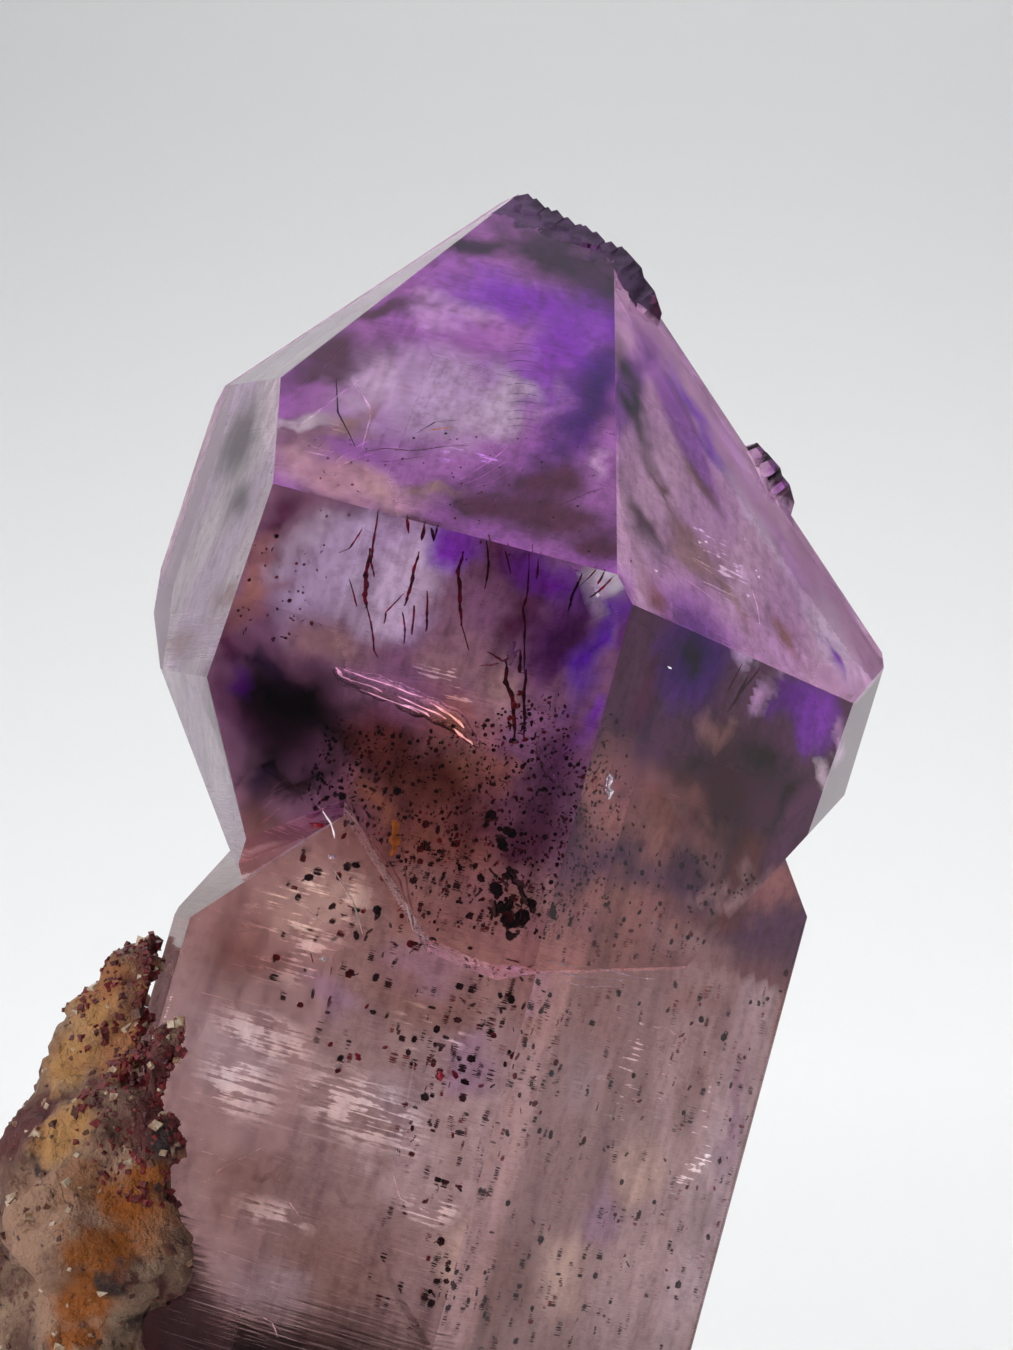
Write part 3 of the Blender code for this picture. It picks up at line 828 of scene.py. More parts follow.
# %% [markdown]
# ## The clear quartz body
#
# The measured solid has the right faces, but its edges are mathematically sharp. Real quartz edges are
# slightly rounded and catch the light as thin bright lines. So the body is a copy of the solid with its
# triangles merged into whole faces and a very small rounding on each edge. It is cut to small triangles,
# so that the stains have corners to sit on. The broken crest has a material of its own.


# %% Quartz body
# Photo places of the dark broken crest and tip, each with its radius in mm.
CREST_POINTS = ((530, 212, 1.3), (575, 226, 1.5), (620, 244, 1.5), (648, 272, 1.4), (775, 468, 1.1))

# How much of the height of the growth steps on the stem's front is taken away, 0 to 1: sharp steps
# would refract as dark lines. They lie below the given height from the middle of the head and stand
# more than a little proud of the face, both in mm.
STEP_SOFTENING = 0.92
STEPS_TOP = -12.0
FLAT = 0.02

# Radius of the rounded edges and the longest edge of the small triangles, front and back, in mm.
EDGE_ROUNDING = 0.07
FRONT_STEP = 0.38
BACK_STEP = 0.9


def near_crest(middles):
    """Which small triangles belong to the dark broken crest, with a ragged border."""
    ragged = middles + 0.35 * np.stack([soft_noise(middles, 1.1, k) for k in (11, 12, 13)], axis=1)
    near = np.zeros(len(middles), dtype=bool)
    for across, down, radius in CREST_POINTS:
        near |= np.linalg.norm(ragged - on_face(across, down, "front roof"), axis=1) < radius * 0.8
    return near


def soften_steps(block):
    """Move the growth steps of the stem's front most of the way back to its plane."""
    azimuth, tilt, distance = FACES["stem front"][1:]
    out = face_direction(azimuth, tilt)
    points = np.array([vertex.co for vertex in block.verts]) / MM
    proud = (points - STEM_MIDDLE) @ out - distance
    low = (points - HEAD_MIDDLE) @ LONG_AXIS < STEPS_TOP
    for number in np.flatnonzero(low & (proud > FLAT)):
        block.verts[number].co -= Vector(out * float(proud[number]) * STEP_SOFTENING * MM)


def rounded_copy(sharp):
    """The same mesh after a Bevel modifier has rounded its edges."""
    draft = put("draft", sharp)
    rounding = draft.modifiers.new("edge rounding", "BEVEL")
    rounding.width = EDGE_ROUNDING * MM
    rounding.segments = 2
    rounding.limit_method = "ANGLE"
    rounding.angle_limit = math.radians(9.0)
    rounded = draft.evaluated_get(bpy.context.evaluated_depsgraph_get()).to_mesh()
    block = bmesh.new()
    block.from_mesh(rounded)
    bpy.data.objects.remove(draft)
    return block


def too_long(edge):
    """Whether an edge is longer than allowed: short where the crystal faces the viewer."""
    looks = max(face.normal.dot(Vector(TO_VIEWER)) for face in edge.link_faces)
    return edge.calc_length() > (FRONT_STEP if looks > 0.1 else BACK_STEP) * MM


def cut_small(block):
    """Halve long edges again and again, so that stains have corners to sit on."""
    for _ in range(9):
        bmesh.ops.triangulate(block, faces=[face for face in block.faces if len(face.verts) > 3])
        long = [edge for edge in block.edges if too_long(edge)]
        if not long:
            break
        bmesh.ops.subdivide_edges(block, edges=long, cuts=1)


def read_all(parts, name, columns, kind=float):
    """One value of every vertex, corner or face of a mesh, as an array."""
    values = np.zeros(len(parts) * columns, dtype=kind)
    parts.foreach_get(name, values)
    return values.reshape(-1, columns) if columns > 1 else values


def make_quartz_body():
    """The merged solid with rounded edges, cut to small stained triangles."""
    block = bmesh.new()
    block.from_mesh(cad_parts["scepter_crystal"].data)
    bmesh.ops.remove_doubles(block, verts=block.verts[:], dist=1e-6)
    block.verts.ensure_lookup_table()
    soften_steps(block)
    bmesh.ops.dissolve_limit(
        block, angle_limit=math.radians(0.4), verts=block.verts[:], edges=block.edges[:],
    )
    sharp = bpy.data.meshes.new("sharp quartz")
    block.to_mesh(sharp)
    block.free()
    block = rounded_copy(sharp)
    cut_small(block)
    mesh = bpy.data.meshes.new("quartz_body")
    block.to_mesh(mesh)
    block.free()
    corner_of = read_all(mesh.loops, "vertex_index", 1, int)
    corners = read_all(mesh.vertices, "co", 3)[corner_of] / MM
    outward = read_all(mesh.polygons, "normal", 3)
    sides = read_all(mesh.polygons, "loop_total", 1, int)
    middles = read_all(mesh.polygons, "center", 3) / MM
    store_colours(mesh, "stain", "CORNER", stained_corners(corners, np.repeat(outward, sides, axis=0)))
    body = put("quartz_body", mesh)
    mesh.materials.append(quartz_material())
    mesh.materials.append(crest_material())
    on_crest = near_crest(middles) & (outward @ TO_VIEWER > -0.3)
    mesh.polygons.foreach_set("material_index", on_crest.astype(np.int32))
    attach(body, "root")
    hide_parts("scepter_crystal")
    print("quartz triangles:", len(mesh.polygons), "on the crest:", int(on_crest.sum()))


make_quartz_body()

# %% [markdown]
# ## Violet and smoky zones
#
# Amethyst is rarely one even purple. Its deepest colour sits in soft-edged clouds inside, with smoky
# brown ones where iron and tiny flakes crowd together. Each cloud here is a closed lens that only
# absorbs: its surface neither bends nor reflects light. A lens that thins out towards its rim has no
# visible edge, which a ball would have.


# %% Colour zones
# What white light becomes, as a screen shows it, after two millimetres of each shade of quartz.
SHADES = {
    "violet": (150, 88, 208),
    "deep violet": (105, 48, 165),
    "brown": (160, 122, 106),
    "ink": (52, 24, 44),
}


def shade_materials():
    """One volume-only material for each shade."""
    materials = {}
    for name, seen in SHADES.items():
        shade = Shade(name + " quartz")
        shade.absorbing(rgb(*seen), 2.0)
        materials[name] = shade.material
    return materials


SHADE_MATERIALS = shade_materials()
BALL = ball_grid(16, 32)

# How much wider a lens is made than its stated size, because it is thin towards its rim.
DRAWN_OUT = 1.35


def colour_zone(name, face, across, down, depth, size, shade_name, turn, seed):
    """A soft cloud under a face. size: half width, half height and half depth in mm.

    On a unit ball the depth coordinate z becomes z to the power 4, so the lens thins out smoothly at
    its rim. Soft noise moves the rim in and out and makes the thickness uneven. Half of the lens's
    thickness is reached at four fifths of its width, so the rim is drawn out by a third.
    """
    points, faces = BALL
    outward, sideways, upward = face_axes(face)
    rim = 1.0 + 0.3 * soft_noise(points, 1.3, seed)
    cloud = 1.0 + 0.2 * soft_noise(points * np.array([1.0, 1.0, 0.0]), 0.5, seed + 3)
    x = points[:, 0] * rim * size[0] * DRAWN_OUT
    y = points[:, 1] * rim * size[1] * DRAWN_OUT
    z = np.sign(points[:, 2]) * points[:, 2] ** 4 * cloud * size[2]
    angle = math.radians(turn)
    x, y = x * math.cos(angle) - y * math.sin(angle), x * math.sin(angle) + y * math.cos(angle)
    heart = under_face(across, down, face, depth)
    placed = heart + np.outer(x, sideways) + np.outer(y, upward) + np.outer(z, outward)
    placed = keep_inside(placed, face, 0.05 + 0.013 * (seed % 9))
    new_piece(name, placed, faces, SHADE_MATERIALS[shade_name])


# Face, then for each zone: name, photo place, depth, half sizes in mm, shade, turn in degrees.
ZONES = {
    "front roof": (
        ("roof_violet_column", 588, 390, 2.4, (0.85, 4.0, 0.5), "deep violet", -3),
    ),
    "front": (
        ("front_ink", 286, 712, 2.0, (2.2, 1.3, 0.6), "ink", -10),
        ("front_dark_violet", 558, 635, 2.0, (1.0, 1.7, 0.8), "violet", -20),
        ("neck_brown", 430, 800, 2.4, (3.6, 2.6, 0.8), "brown", -10),
    ),
    "right": (
        ("right_dark_violet", 692, 655, 1.9, (1.9, 1.5, 0.8), "violet", -12),
        ("right_brown", 720, 800, 2.4, (2.6, 2.0, 0.8), "brown", -10),
    ),
    "right roof": (
        ("slope_purple", 680, 420, 1.6, (0.9, 3.2, 0.7), "violet", 12),
    ),
}


def make_zones():
    """A colour zone for each row of the table."""
    number = 0
    for face, zones in ZONES.items():
        for name, across, down, depth, size, shade_name, turn in zones:
            colour_zone(name, face, across, down, depth, size, shade_name, turn, number)
            number += 1
    print("colour zones:", number)


make_zones()

# %% [markdown]
# ## Rust-red needles
#
# Thin hairs of iron oxide hang down from the edge between the roof and the front face. Each is a tapered
# hair along a given path: nearly black in places, wine red where light gets through.


# %% Needles
def hair(path, radius, sides=5, steps=5):
    """A tapered tube along a path, closed at both ends.

    Its radius follows sin(pi t) to the power 0.6, with t from 0 to 1 along it, and swells and shrinks a
    little; its line wavers by a quarter of the radius.
    """
    path = np.asarray(path, dtype=float)
    parts = np.linspace(0.0, len(path) - 1, (len(path) - 1) * steps + 1)
    low = np.minimum(parts.astype(int), len(path) - 2)
    share = (parts - low)[:, None]
    line = path[low] * (1 - share) + path[low + 1] * share
    waver = np.stack([np.sin(parts * 5.1), np.zeros(len(parts)), np.cos(parts * 3.7)], axis=1)
    line = line + 0.25 * radius * waver
    t = np.linspace(0.0, 1.0, len(line))
    thick = radius * (0.25 + 0.75 * np.sin(math.pi * np.clip(t, 0.02, 0.98)) ** 0.6)
    thick = thick * (1.0 + 0.35 * np.sin(t * 37.0 + path[0, 0] * 9.0))
    turn = np.arange(sides) * (2 * math.pi / sides)
    ring = np.stack([np.cos(turn), np.sin(turn), np.zeros(sides)], axis=1)
    points = line[:, None, :] + ring[None, :, :] * thick[:, None, None]
    return points.reshape(-1, 3), tube_faces(len(line), sides)


def oxide_material(name, dark, bright, gloss, see_through):
    """Iron oxide: two shades in patches, glossy, opaque or partly see-through."""
    shade = Shade(name)
    patch = shade.noise(shade.place(), 4.0, 2.0, 0.6).clear_step(0.42, 0.62)
    shade.principled(
        Base_Color=shade.blend(patch, dark, bright), Roughness=gloss, Specular_IOR_Level=0.6,
        Transmission_Weight=see_through, IOR=1.3,
    )
    return shade.material


# For each face: photo paths under it, each with depth in mm and half thickness in mm.
NEEDLES = {
    "front": (
        (((378, 511), (373, 545), (371, 560), (374, 577)), 0.35, 0.045),
        (((370, 549), (366, 575), (365, 595), (366, 608)), 0.50, 0.085),
        (((366, 606), (371, 622), (374, 650), (378, 658)), 0.55, 0.035),
        (((406, 517), (409, 533)), 0.30, 0.05),
        (((424, 524), (422, 540)), 0.30, 0.06),
        (((431, 528), (434, 541)), 0.30, 0.05),
        (((437, 527), (434, 541)), 0.30, 0.04),
        (((419, 552), (414, 569), (409, 593), (404, 606)), 0.60, 0.06),
        (((404, 593), (386, 612), (384, 624)), 0.9, 0.035),
        (((402, 612), (405, 626), (404, 644)), 0.9, 0.035),
        (((414, 606), (412, 634)), 1.1, 0.05),
        (((427, 591), (427, 618), (426, 632)), 0.8, 0.045),
        (((463, 552), (458, 571), (460, 599), (461, 626)), 0.5, 0.07),
        (((461, 624), (469, 650)), 0.6, 0.03),
        (((486, 541), (489, 563), (485, 589)), 0.9, 0.04),
        (((505, 551), (511, 573)), 0.9, 0.035),
        (((529, 553), (528, 591), (523, 608), (525, 628), (524, 652), (525, 678)), 1.2, 0.04),
        (((538, 559), (537, 579)), 0.9, 0.035),
        (((349, 579), (357, 606)), 0.9, 0.035),
        (((362, 529), (350, 548), (339, 553)), 0.5, 0.04),
        (((582, 574), (572, 596), (568, 612)), 0.5, 0.05),
        (((612, 578), (600, 590), (590, 598)), 0.35, 0.06),
        (((604, 572), (598, 584)), 0.35, 0.05),
        (((596, 570), (580, 586)), 0.5, 0.035),
        (((506, 662), (506, 682), (514, 705), (514, 739)), 1.0, 0.085),
        (((526, 670), (524, 695), (524, 739)), 1.1, 0.06),
        (((487, 652), (504, 661), (519, 650)), 0.9, 0.07),
        (((520, 650), (520, 672), (535, 676)), 0.9, 0.06),
        (((481, 667), (499, 662)), 1.0, 0.13),
    ),
    "right": (
        (((760, 668), (742, 690), (728, 712)), 0.5, 0.07),
        (((748, 676), (735, 700)), 0.6, 0.06),
        (((742, 664), (728, 690)), 0.7, 0.04),
    ),
}


def make_needles():
    """All needles as one piece."""
    shapes = []
    for face, rows in NEEDLES.items():
        for path, depth, radius in rows:
            shapes.append(hair([under_face(x, y, face, depth) for x, y in path], radius))
    points, faces = gather(shapes)
    material = oxide_material("wine red oxide", (0.06, 0.003, 0.012), (0.48, 0.008, 0.035), 0.4, 0.75)
    new_piece("rust_needles", points, faces, material, smooth=True)
    print("needles:", len(shapes))


make_needles()

# %% [markdown]
# ## Threads and drops
#
# The photograph shows many small things inside the quartz: short dark rungs beside the violet core, a
# crack with a golden glint, pale curved lines, red drops and drops of gas. Each is a tapered tube along
# photo places. Several glow a little though no lamp lights them: painted highlights along the fluid
# tube, painted glints on the golden specks and pale lines, painted sheen on the neck cracks and a slight
# painted glow on the drops.

# %% Threads and drops
RUNG_HEIGHTS = (345, 352, 362, 372, 385, 395, 403, 412, 420, 427)
LADDER = tuple(((506, y), (520, y - 2), (538, y + 1)) for y in RUNG_HEIGHTS)

# For each kind: face, depth in mm, half thickness in mm, photo paths.
THREADS = {
    "violet_rungs": (
        ("front roof", 0.25, 0.028, LADDER),
        ("front roof", 0.30, 0.030, (
            ((417, 433), (435, 422), (460, 420)), ((336, 380), (338, 412), (356, 448)),
        )),
    ),
    "olive_crack": (
        ("front roof", 0.30, 0.065, (((363, 452), (385, 448), (410, 451), (440, 447), (470, 445)),)),
        ("front roof", 0.34, 0.030, (
            ((380, 462), (400, 460), (425, 456)), ((560, 505), (590, 492), (604, 488)),
        )),
    ),
    # Pale lines and white specks that glow: partly real pale lines, partly painted glints.
    "pale_threads_and_painted_glints": (
        ("front roof", 0.20, 0.022, (
            ((448, 486), (470, 474), (495, 458), (508, 446)), ((455, 487), (480, 478), (505, 462)),
            ((470, 488), (492, 482), (512, 470)), ((335, 462), (350, 450), (368, 441)),
            ((338, 467), (356, 458), (374, 453)), ((352, 378), (372, 410), (362, 448)),
            ((300, 425), (330, 402), (358, 380)), ((288, 400), (318, 372), (346, 345)),
            ((458, 444), (464, 443), (470, 442)),
        )),
        ("front", 0.25, 0.030, (
            ((270, 792), (278, 784), (287, 779)), ((287, 779), (297, 787), (320, 799)),
            ((262, 802), (275, 791), (290, 785), (312, 797)),
            ((258, 814), (272, 800), (292, 792), (306, 802)),
            ((260, 826), (276, 810), (296, 801)), ((318, 806), (330, 822), (334, 838)),
        )),
        ("front", 0.35, 0.045, (((597, 593), (598, 597)), ((667, 666), (671, 668)))),
        ("stem front", 0.25, 0.024, (
            ((255, 1210), (268, 1200), (290, 1203), (298, 1214)), ((200, 1185), (225, 1166), (262, 1148)),
            ((260, 1316), (272, 1322), (278, 1338)), ((392, 1172), (400, 1198), (430, 1214)),
        )),
        ("right roof", 0.3, 0.024, (
            ((752, 590), (757, 605), (760, 625)), ((655, 560), (690, 582), (720, 604)),
            ((670, 548), (705, 568), (738, 592)), ((690, 540), (725, 560), (750, 580)),
        )),
    ),
    # Painted highlights: glowing white streaks along the top of the fluid tube.
    "tube_painted_highlights": (
        ("front", 0.50, 0.060, (
            ((344, 670), (372, 679), (402, 690), (422, 697)), ((360, 690), (392, 701), (420, 713)),
            ((430, 703), (450, 714), (464, 728)), ((398, 697), (428, 709), (446, 719)),
            ((348, 680), (366, 684), (382, 692)), ((452, 728), (464, 737), (473, 745)),
            ((336, 668), (342, 676), (352, 682)), ((404, 705), (418, 709), (430, 717)),
        )),
    ),
    # Pale cracks in the neck, with a faint glow as painted sheen.
    "neck_cracks_painted_sheen": (
        ("front", 0.25, 0.024, (
            ((345, 810), (375, 845), (400, 880), (412, 930), (460, 960)),
            ((400, 830), (408, 890), (415, 925), (455, 945)),
            ((332, 868), (352, 900), (362, 934)), ((300, 905), (322, 922), (346, 924)),
        )),
    ),
    # Painted glints: small golden threads that glow.
    "painted_golden_glints": (
        ("front roof", 0.28, 0.085, (((429, 431), (440, 428), (452, 429)),)),
        ("front", 0.6, 0.15, (((394, 821), (396, 838), (392, 856)),)),
        ("front", 0.6, 0.07, (((510, 744), (514, 744)),)),
    ),
    "crimson_drops": (
        ("front", 0.5, 0.10, (
            ((514, 703), (514, 708)), ((510, 716), (510, 720)), ((520, 691), (520, 695)),
            ((525, 738), (525, 741)), ((484, 665), (494, 665)), ((438, 1072), (440, 1080)),
        )),
        ("front", 0.5, 0.24, (((312, 824), (319, 825)),)),
        ("stem front", 0.4, 0.09, (
            ((438, 1070), (441, 1079)), ((453, 1071), (457, 1078)), ((356, 1054), (360, 1060)),
        )),
    ),
    "gas_drops": (
        ("front", 0.5, 0.14, (
            ((537, 743), (541, 757), (547, 770), (553, 779), (558, 787)),
            ((607, 774), (607, 787), (608, 799)), ((511, 640), (512, 652), (510, 666)),
        )),
        ("front", 0.4, 0.12, (((329, 855), (332, 858)), ((321, 957), (324, 960)))),
        ("front", 0.5, 0.10, (
            ((540, 960), (575, 966), (612, 971), (652, 979)), ((548, 970), (582, 976), (622, 981)),
            ((556, 981), (590, 986), (616, 986)),
        )),
    ),
}


def thread_material(name, colour, glow, gloss, see_through=0.0, ior=1.45):
    """Streaks of one colour, full and half as bright, that may glow a little as a painted glint."""
    shade = Shade(name)
    streak = shade.noise(shade.place(), 3.0, 2.0, 0.6).clear_step(0.35, 0.65)
    tinted = shade.blend(streak, tuple(part * 0.55 for part in colour), colour)
    shade.principled(
        Base_Color=tinted, Roughness=gloss, Emission_Color=tinted, Emission_Strength=glow,
        Transmission_Weight=see_through, IOR=ior,
    )
    return shade.material


def make_threads():
    """All threads of a kind as one piece."""
    # The number after each colour is its glow: painted light wherever it is above zero.
    materials = {
        "violet_rungs": thread_material("deep violet thread", (0.05, 0.015, 0.10), 0.0, 0.4),
        "olive_crack": thread_material("olive crack", (0.12, 0.08, 0.06), 0.0, 0.3),
        "pale_threads_and_painted_glints": thread_material("pale thread and painted glint", (0.92, 0.85, 0.89), 0.7, 0.3),
        "tube_painted_highlights": thread_material("tube painted highlight", (0.97, 0.94, 0.97), 2.4, 0.2),
        "neck_cracks_painted_sheen": thread_material("neck crack painted sheen", (0.62, 0.50, 0.50), 0.12, 0.3, 0.6),
        "painted_golden_glints": thread_material("painted golden glint", (0.80, 0.50, 0.10), 0.45, 0.25),
        # Crimson drops and lilac gas glow faintly: a slight painted glow on their real colour.
        "crimson_drops": thread_material("crimson drop", (0.60, 0.012, 0.05), 0.04, 0.3, 0.6),
        "gas_drops": thread_material("lilac gas", (0.86, 0.78, 0.98), 0.05, 0.03, 1.0, 1.0 / QUARTZ_IOR),
    }
    for name, rows in THREADS.items():
        shapes = []
        for face, depth, radius, paths in rows:
            for path in paths:
                shapes.append(hair([under_face(x, y, face, depth) for x, y in path], radius, 6, 4))
        points, faces = gather(shapes)
        new_piece(name, points, faces, materials[name], smooth=True)
        print(name, len(shapes))


make_threads()

# %% [markdown]
# ## Silvery films, painted glints
#
# Healed cracks shine as white streaks just under the stem's faces. Here that shine is painted: each
# film is a flat white sheet under a face that glows a little, a painted glint. Streaky noise and a soft
# rim give the share of it that can be seen.

# %% Silvery films, painted glints
# Face, photo place, half width and half height in mm, turn in degrees, how full of streaks.
GLINT_FILMS = (
    ("stem front", 265, 1035, 2.2, 0.9, -6, 0.55), ("stem front", 360, 1110, 2.8, 1.4, -8, 0.54),
    ("stem front", 240, 1085, 1.8, 1.3, -10, 0.50), ("stem front", 275, 1215, 1.6, 0.6, -4, 0.55),
    ("stem front", 430, 1210, 1.2, 0.8, 20, 0.48), ("stem front", 310, 905, 2.4, 1.6, 30, 0.48),
    ("stem front", 300, 960, 2.0, 1.0, 20, 0.44), ("stem front", 430, 1030, 1.6, 1.0, -6, 0.44),
    ("stem right", 640, 1060, 2.6, 2.6, 0, 0.36), ("stem right", 700, 1150, 2.0, 3.0, 0, 0.33),
    ("front", 455, 680, 2.2, 1.4, 0, 0.36), ("front roof", 480, 455, 1.6, 0.8, 20, 0.44),
    ("front roof", 330, 440, 1.4, 1.2, 30, 0.40), ("right roof", 715, 560, 2.4, 1.8, 25, 0.42),
)


def glint_film_material(name, fullness):
    """White film that glows as a painted glint, showing only in thin streaks across the crystal's long
    axis.
    """
    shade = Shade(name)
    spot = shade.place()
    streaks = shade.noise(shade.stretched(spot, 0.45, 0.45, 9.0), 1.0, 3.0, 0.6)
    blots = shade.noise(spot, 0.9, 3.0, 0.6)
    rim = shade.node("ShaderNodeSeparateColor", {}, {"Color": shade.corner_colour("rim")}, "Red")
    amount = (streaks + (blots - 0.5) * 0.9 + fullness - 0.5).clear_step(0.50, 0.60) * rim
    # The emission is a painted glint: the films glow though no lamp lights them.
    shade.principled(
        Base_Color=(0.92, 0.95, 0.97), Roughness=0.3, Alpha=amount * 0.85,
        Emission_Color=(0.80, 0.95, 1.0), Emission_Strength=1.0,
    )
    return shade.material


def make_glint_films():
    """Flat sheets just under a face, waved by soft noise; `rim` is 1 in the middle and 0 at the edge."""
    across_steps = 25
    up_steps = 17
    u, v = np.meshgrid(np.linspace(-1, 1, across_steps), np.linspace(-1, 1, up_steps))
    u = u.ravel()
    v = v.ravel()
    rim = 1.0 - smooth_step(np.hypot(u, v), 0.35, 1.0)
    index = np.arange(across_steps * up_steps).reshape(up_steps, across_steps)
    faces = np.stack([index[:-1, :-1], index[:-1, 1:], index[1:, 1:], index[1:, :-1]], -1).reshape(-1, 4)
    for number, (face, x, y, half_wide, half_high, turn, fullness) in enumerate(GLINT_FILMS):
        out, sideways, upward = face_axes(face)
        angle = math.radians(turn)
        width = u * half_wide * math.cos(angle) - v * half_high * math.sin(angle)
        height = u * half_wide * math.sin(angle) + v * half_high * math.cos(angle)
        points = under_face(x, y, face, 0.22) + np.outer(width, sideways) + np.outer(height, upward)
        points = points + np.outer(0.05 * soft_noise(points, 1.5, number), out)
        points = keep_inside(points, face, 0.12)
        material = glint_film_material(f"painted glint film {number + 1}", fullness)
        piece = new_piece(f"painted_glint_film_{number + 1}", points, faces.tolist(), material)
        store_colours(piece.data, "rim", "POINT", np.column_stack([rim, rim, rim]))
    print("films", len(GLINT_FILMS))


make_glint_films()

# %% [markdown]
# ## Round oxide flakes and specks
#
# Tiny six-sided plates of iron oxide are scattered through the stem, and crowd together as fine specks
# in the brown neck. They lie at all angles and depths, so nearer ones look larger and sharper.


# %% Flakes and specks
def plate_shape():
    """A thin six-sided plate of radius one: two rings of six points and two flat lids."""
    turn = np.arange(6) * (math.pi / 3)
    ring = np.stack([np.cos(turn), np.sin(turn), np.zeros(6)], axis=1)
    points = np.vstack([ring + [0, 0, 0.11], ring - [0, 0, 0.11]])
    faces = [[0, 1, 2, 3, 4, 5], [11, 10, 9, 8, 7, 6]]
    faces += [[k + 6, (k + 1) % 6 + 6, (k + 1) % 6, k] for k in range(6)]
    return points, faces


def random_turns(chance, count):
    """Random rotations from random unit quaternions, as 3 by 3 matrices."""
    w, x, y, z = chance.normal(size=(4, count))
    size = np.sqrt(w * w + x * x + y * y + z * z)
    w, x, y, z = w / size, x / size, y / size, z / size
    return np.stack([
        np.stack([1 - 2 * (y * y + z * z), 2 * (x * y - z * w), 2 * (x * z + y * w)], -1),
        np.stack([2 * (x * y + z * w), 1 - 2 * (x * x + z * z), 2 * (y * z - x * w)], -1),
        np.stack([2 * (x * z - y * w), 2 * (y * z + x * w), 1 - 2 * (x * x + y * y)], -1),
    ], axis=-2)


def in_outline(points, outline):
    """Even-odd test of points against a closed outline, edge by edge."""
    inside = np.zeros(len(points), dtype=bool)
    for (x0, y0), (x1, y1) in zip(outline, outline[1:] + outline[:1]):
        crosses = (points[:, 1] < y0) != (points[:, 1] < y1)
        height = (points[:, 1] - y0) / ((y1 - y0) or 1e-9)
        inside ^= crosses & (points[:, 0] < x0 + height * (x1 - x0))
    return inside


def scatter(chance, outline, face, count, depths):
    """Random places under a face, inside a photo outline, between two depths in mm."""
    corners = np.array(outline)
    tries = chance.uniform(corners.min(axis=0), corners.max(axis=0), size=(count * 8, 2))
    tries = tries[in_outline(tries, list(outline))][:count]
    depth = depths[0] + (depths[1] - depths[0]) * chance.random(len(tries)) ** 1.6
    return np.array([under_face(x, y, face, d) for (x, y), d in zip(tries, depth)])


# For each field: name, face, how many, depths, smallest and largest radius, outline in photo pixels.
FLAKE_FIELDS = (
    ("neck specks", "front", 2000, (0.2, 6.0), (0.02, 0.085), (
        (330, 715), (420, 735), (560, 690), (600, 800), (560, 940), (430, 930), (385, 850), (300, 800),
    )),
    ("black cluster", "front", 46, (0.3, 1.6), (0.1, 0.3), (
        (487, 865), (520, 872), (535, 905), (512, 940), (495, 915),
    )),
    ("black corner", "front", 12, (0.3, 1.0), (0.08, 0.2), (
        (484, 812), (514, 822), (508, 852), (492, 838),
    )),
    ("large neck flakes", "front", 60, (0.2, 3.0), (0.08, 0.17), (
        (300, 780), (420, 760), (520, 900), (420, 1000), (330, 980), (290, 860),
    )),
    ("upper stem flakes", "stem front", 120, (0.2, 5.0), (0.09, 0.17), (
        (300, 850), (380, 860), (440, 960), (560, 975), (560, 1100), (330, 1080), (260, 960),
    )),
    ("middle stem flakes", "stem front", 90, (0.3, 6.0), (0.08, 0.16), (
        (380, 1000), (545, 990), (480, 1200), (440, 1340), (400, 1200),
    )),
    ("right stem flakes", "stem right", 330, (0.3, 7.0), (0.07, 0.15), (
        (545, 990), (790, 970), (745, 1150), (690, 1350), (430, 1350),
    )),
    ("right neck specks", "right", 160, (0.3, 4.0), (0.05, 0.12), (
        (580, 850), (700, 840), (760, 880), (690, 960), (560, 965),
    )),
    ("roof specks", "front roof", 110, (0.3, 4.0), (0.025, 0.06), (
        (300, 430), (590, 430), (600, 560), (300, 485),
    )),
    ("corner specks", "front", 60, (0.2, 2.0), (0.03, 0.08), (
        (262, 520), (330, 540), (320, 640), (225, 640),
    )),
)

# The share of flakes that are red, 0 to 1.
RED_SHARE = 0.27


def make_flakes():
    """Plates in every field, most of them dark and the rest red, joined to one piece of each."""
    chance = np.random.default_rng(21)
    spots, turns, reds = [], [], []
    for _, face, count, depths, sizes, outline in FLAKE_FIELDS:
        middles = keep_inside(scatter(chance, outline, face, count, depths), face, 0.25)
        size = sizes[0] + (sizes[1] - sizes[0]) * chance.random(len(middles)) ** 1.5
        spots.append(middles)
        turns.append(random_turns(chance, len(middles)) * size[:, None, None])
        reds.append(chance.random(len(middles)) < RED_SHARE)
    spots = np.concatenate(spots)
    turns = np.concatenate(turns)
    red = np.concatenate(reds)
    for name, chosen, dark, bright, see_through in (
        ("dark_flakes", ~red, (0.012, 0.008, 0.010), (0.09, 0.03, 0.04), 0.0),
        ("red_flakes", red, (0.16, 0.01, 0.02), (0.50, 0.02, 0.03), 0.6),
    ):
        points, faces = copies(plate_shape(), turns[chosen], spots[chosen])
        new_piece(name, points, faces, oxide_material(name, dark, bright, 0.35, see_through))
        print(name, int(chosen.sum()))


make_flakes()

# %% [markdown]
# ## The silvery fluid tube
#
# A narrow cavity of fluid and gas, about six millimetres long, lies across the front. Light inside quartz
# can't get into gas at a shallow angle, so the cavity's wall shines like mercury. It is a lumpy tube
# whose inside bends light less than the quartz around it.


# %% Fluid tube
# Photo places along the tube, its radius at each in mm, and its depth under the front face in mm.
TUBE_PATH = ((334, 668), (346, 677), (372, 686), (402, 697), (432, 709), (456, 722), (470, 736), (479, 748))
TUBE_RADII = (0.07, 0.26, 0.34, 0.36, 0.38, 0.36, 0.24, 0.05)
TUBE_DEPTH = 0.9
TUBE_SIDES = 28

# The tube's depth from front to back as a share of its height.
FLATTENED = 0.62


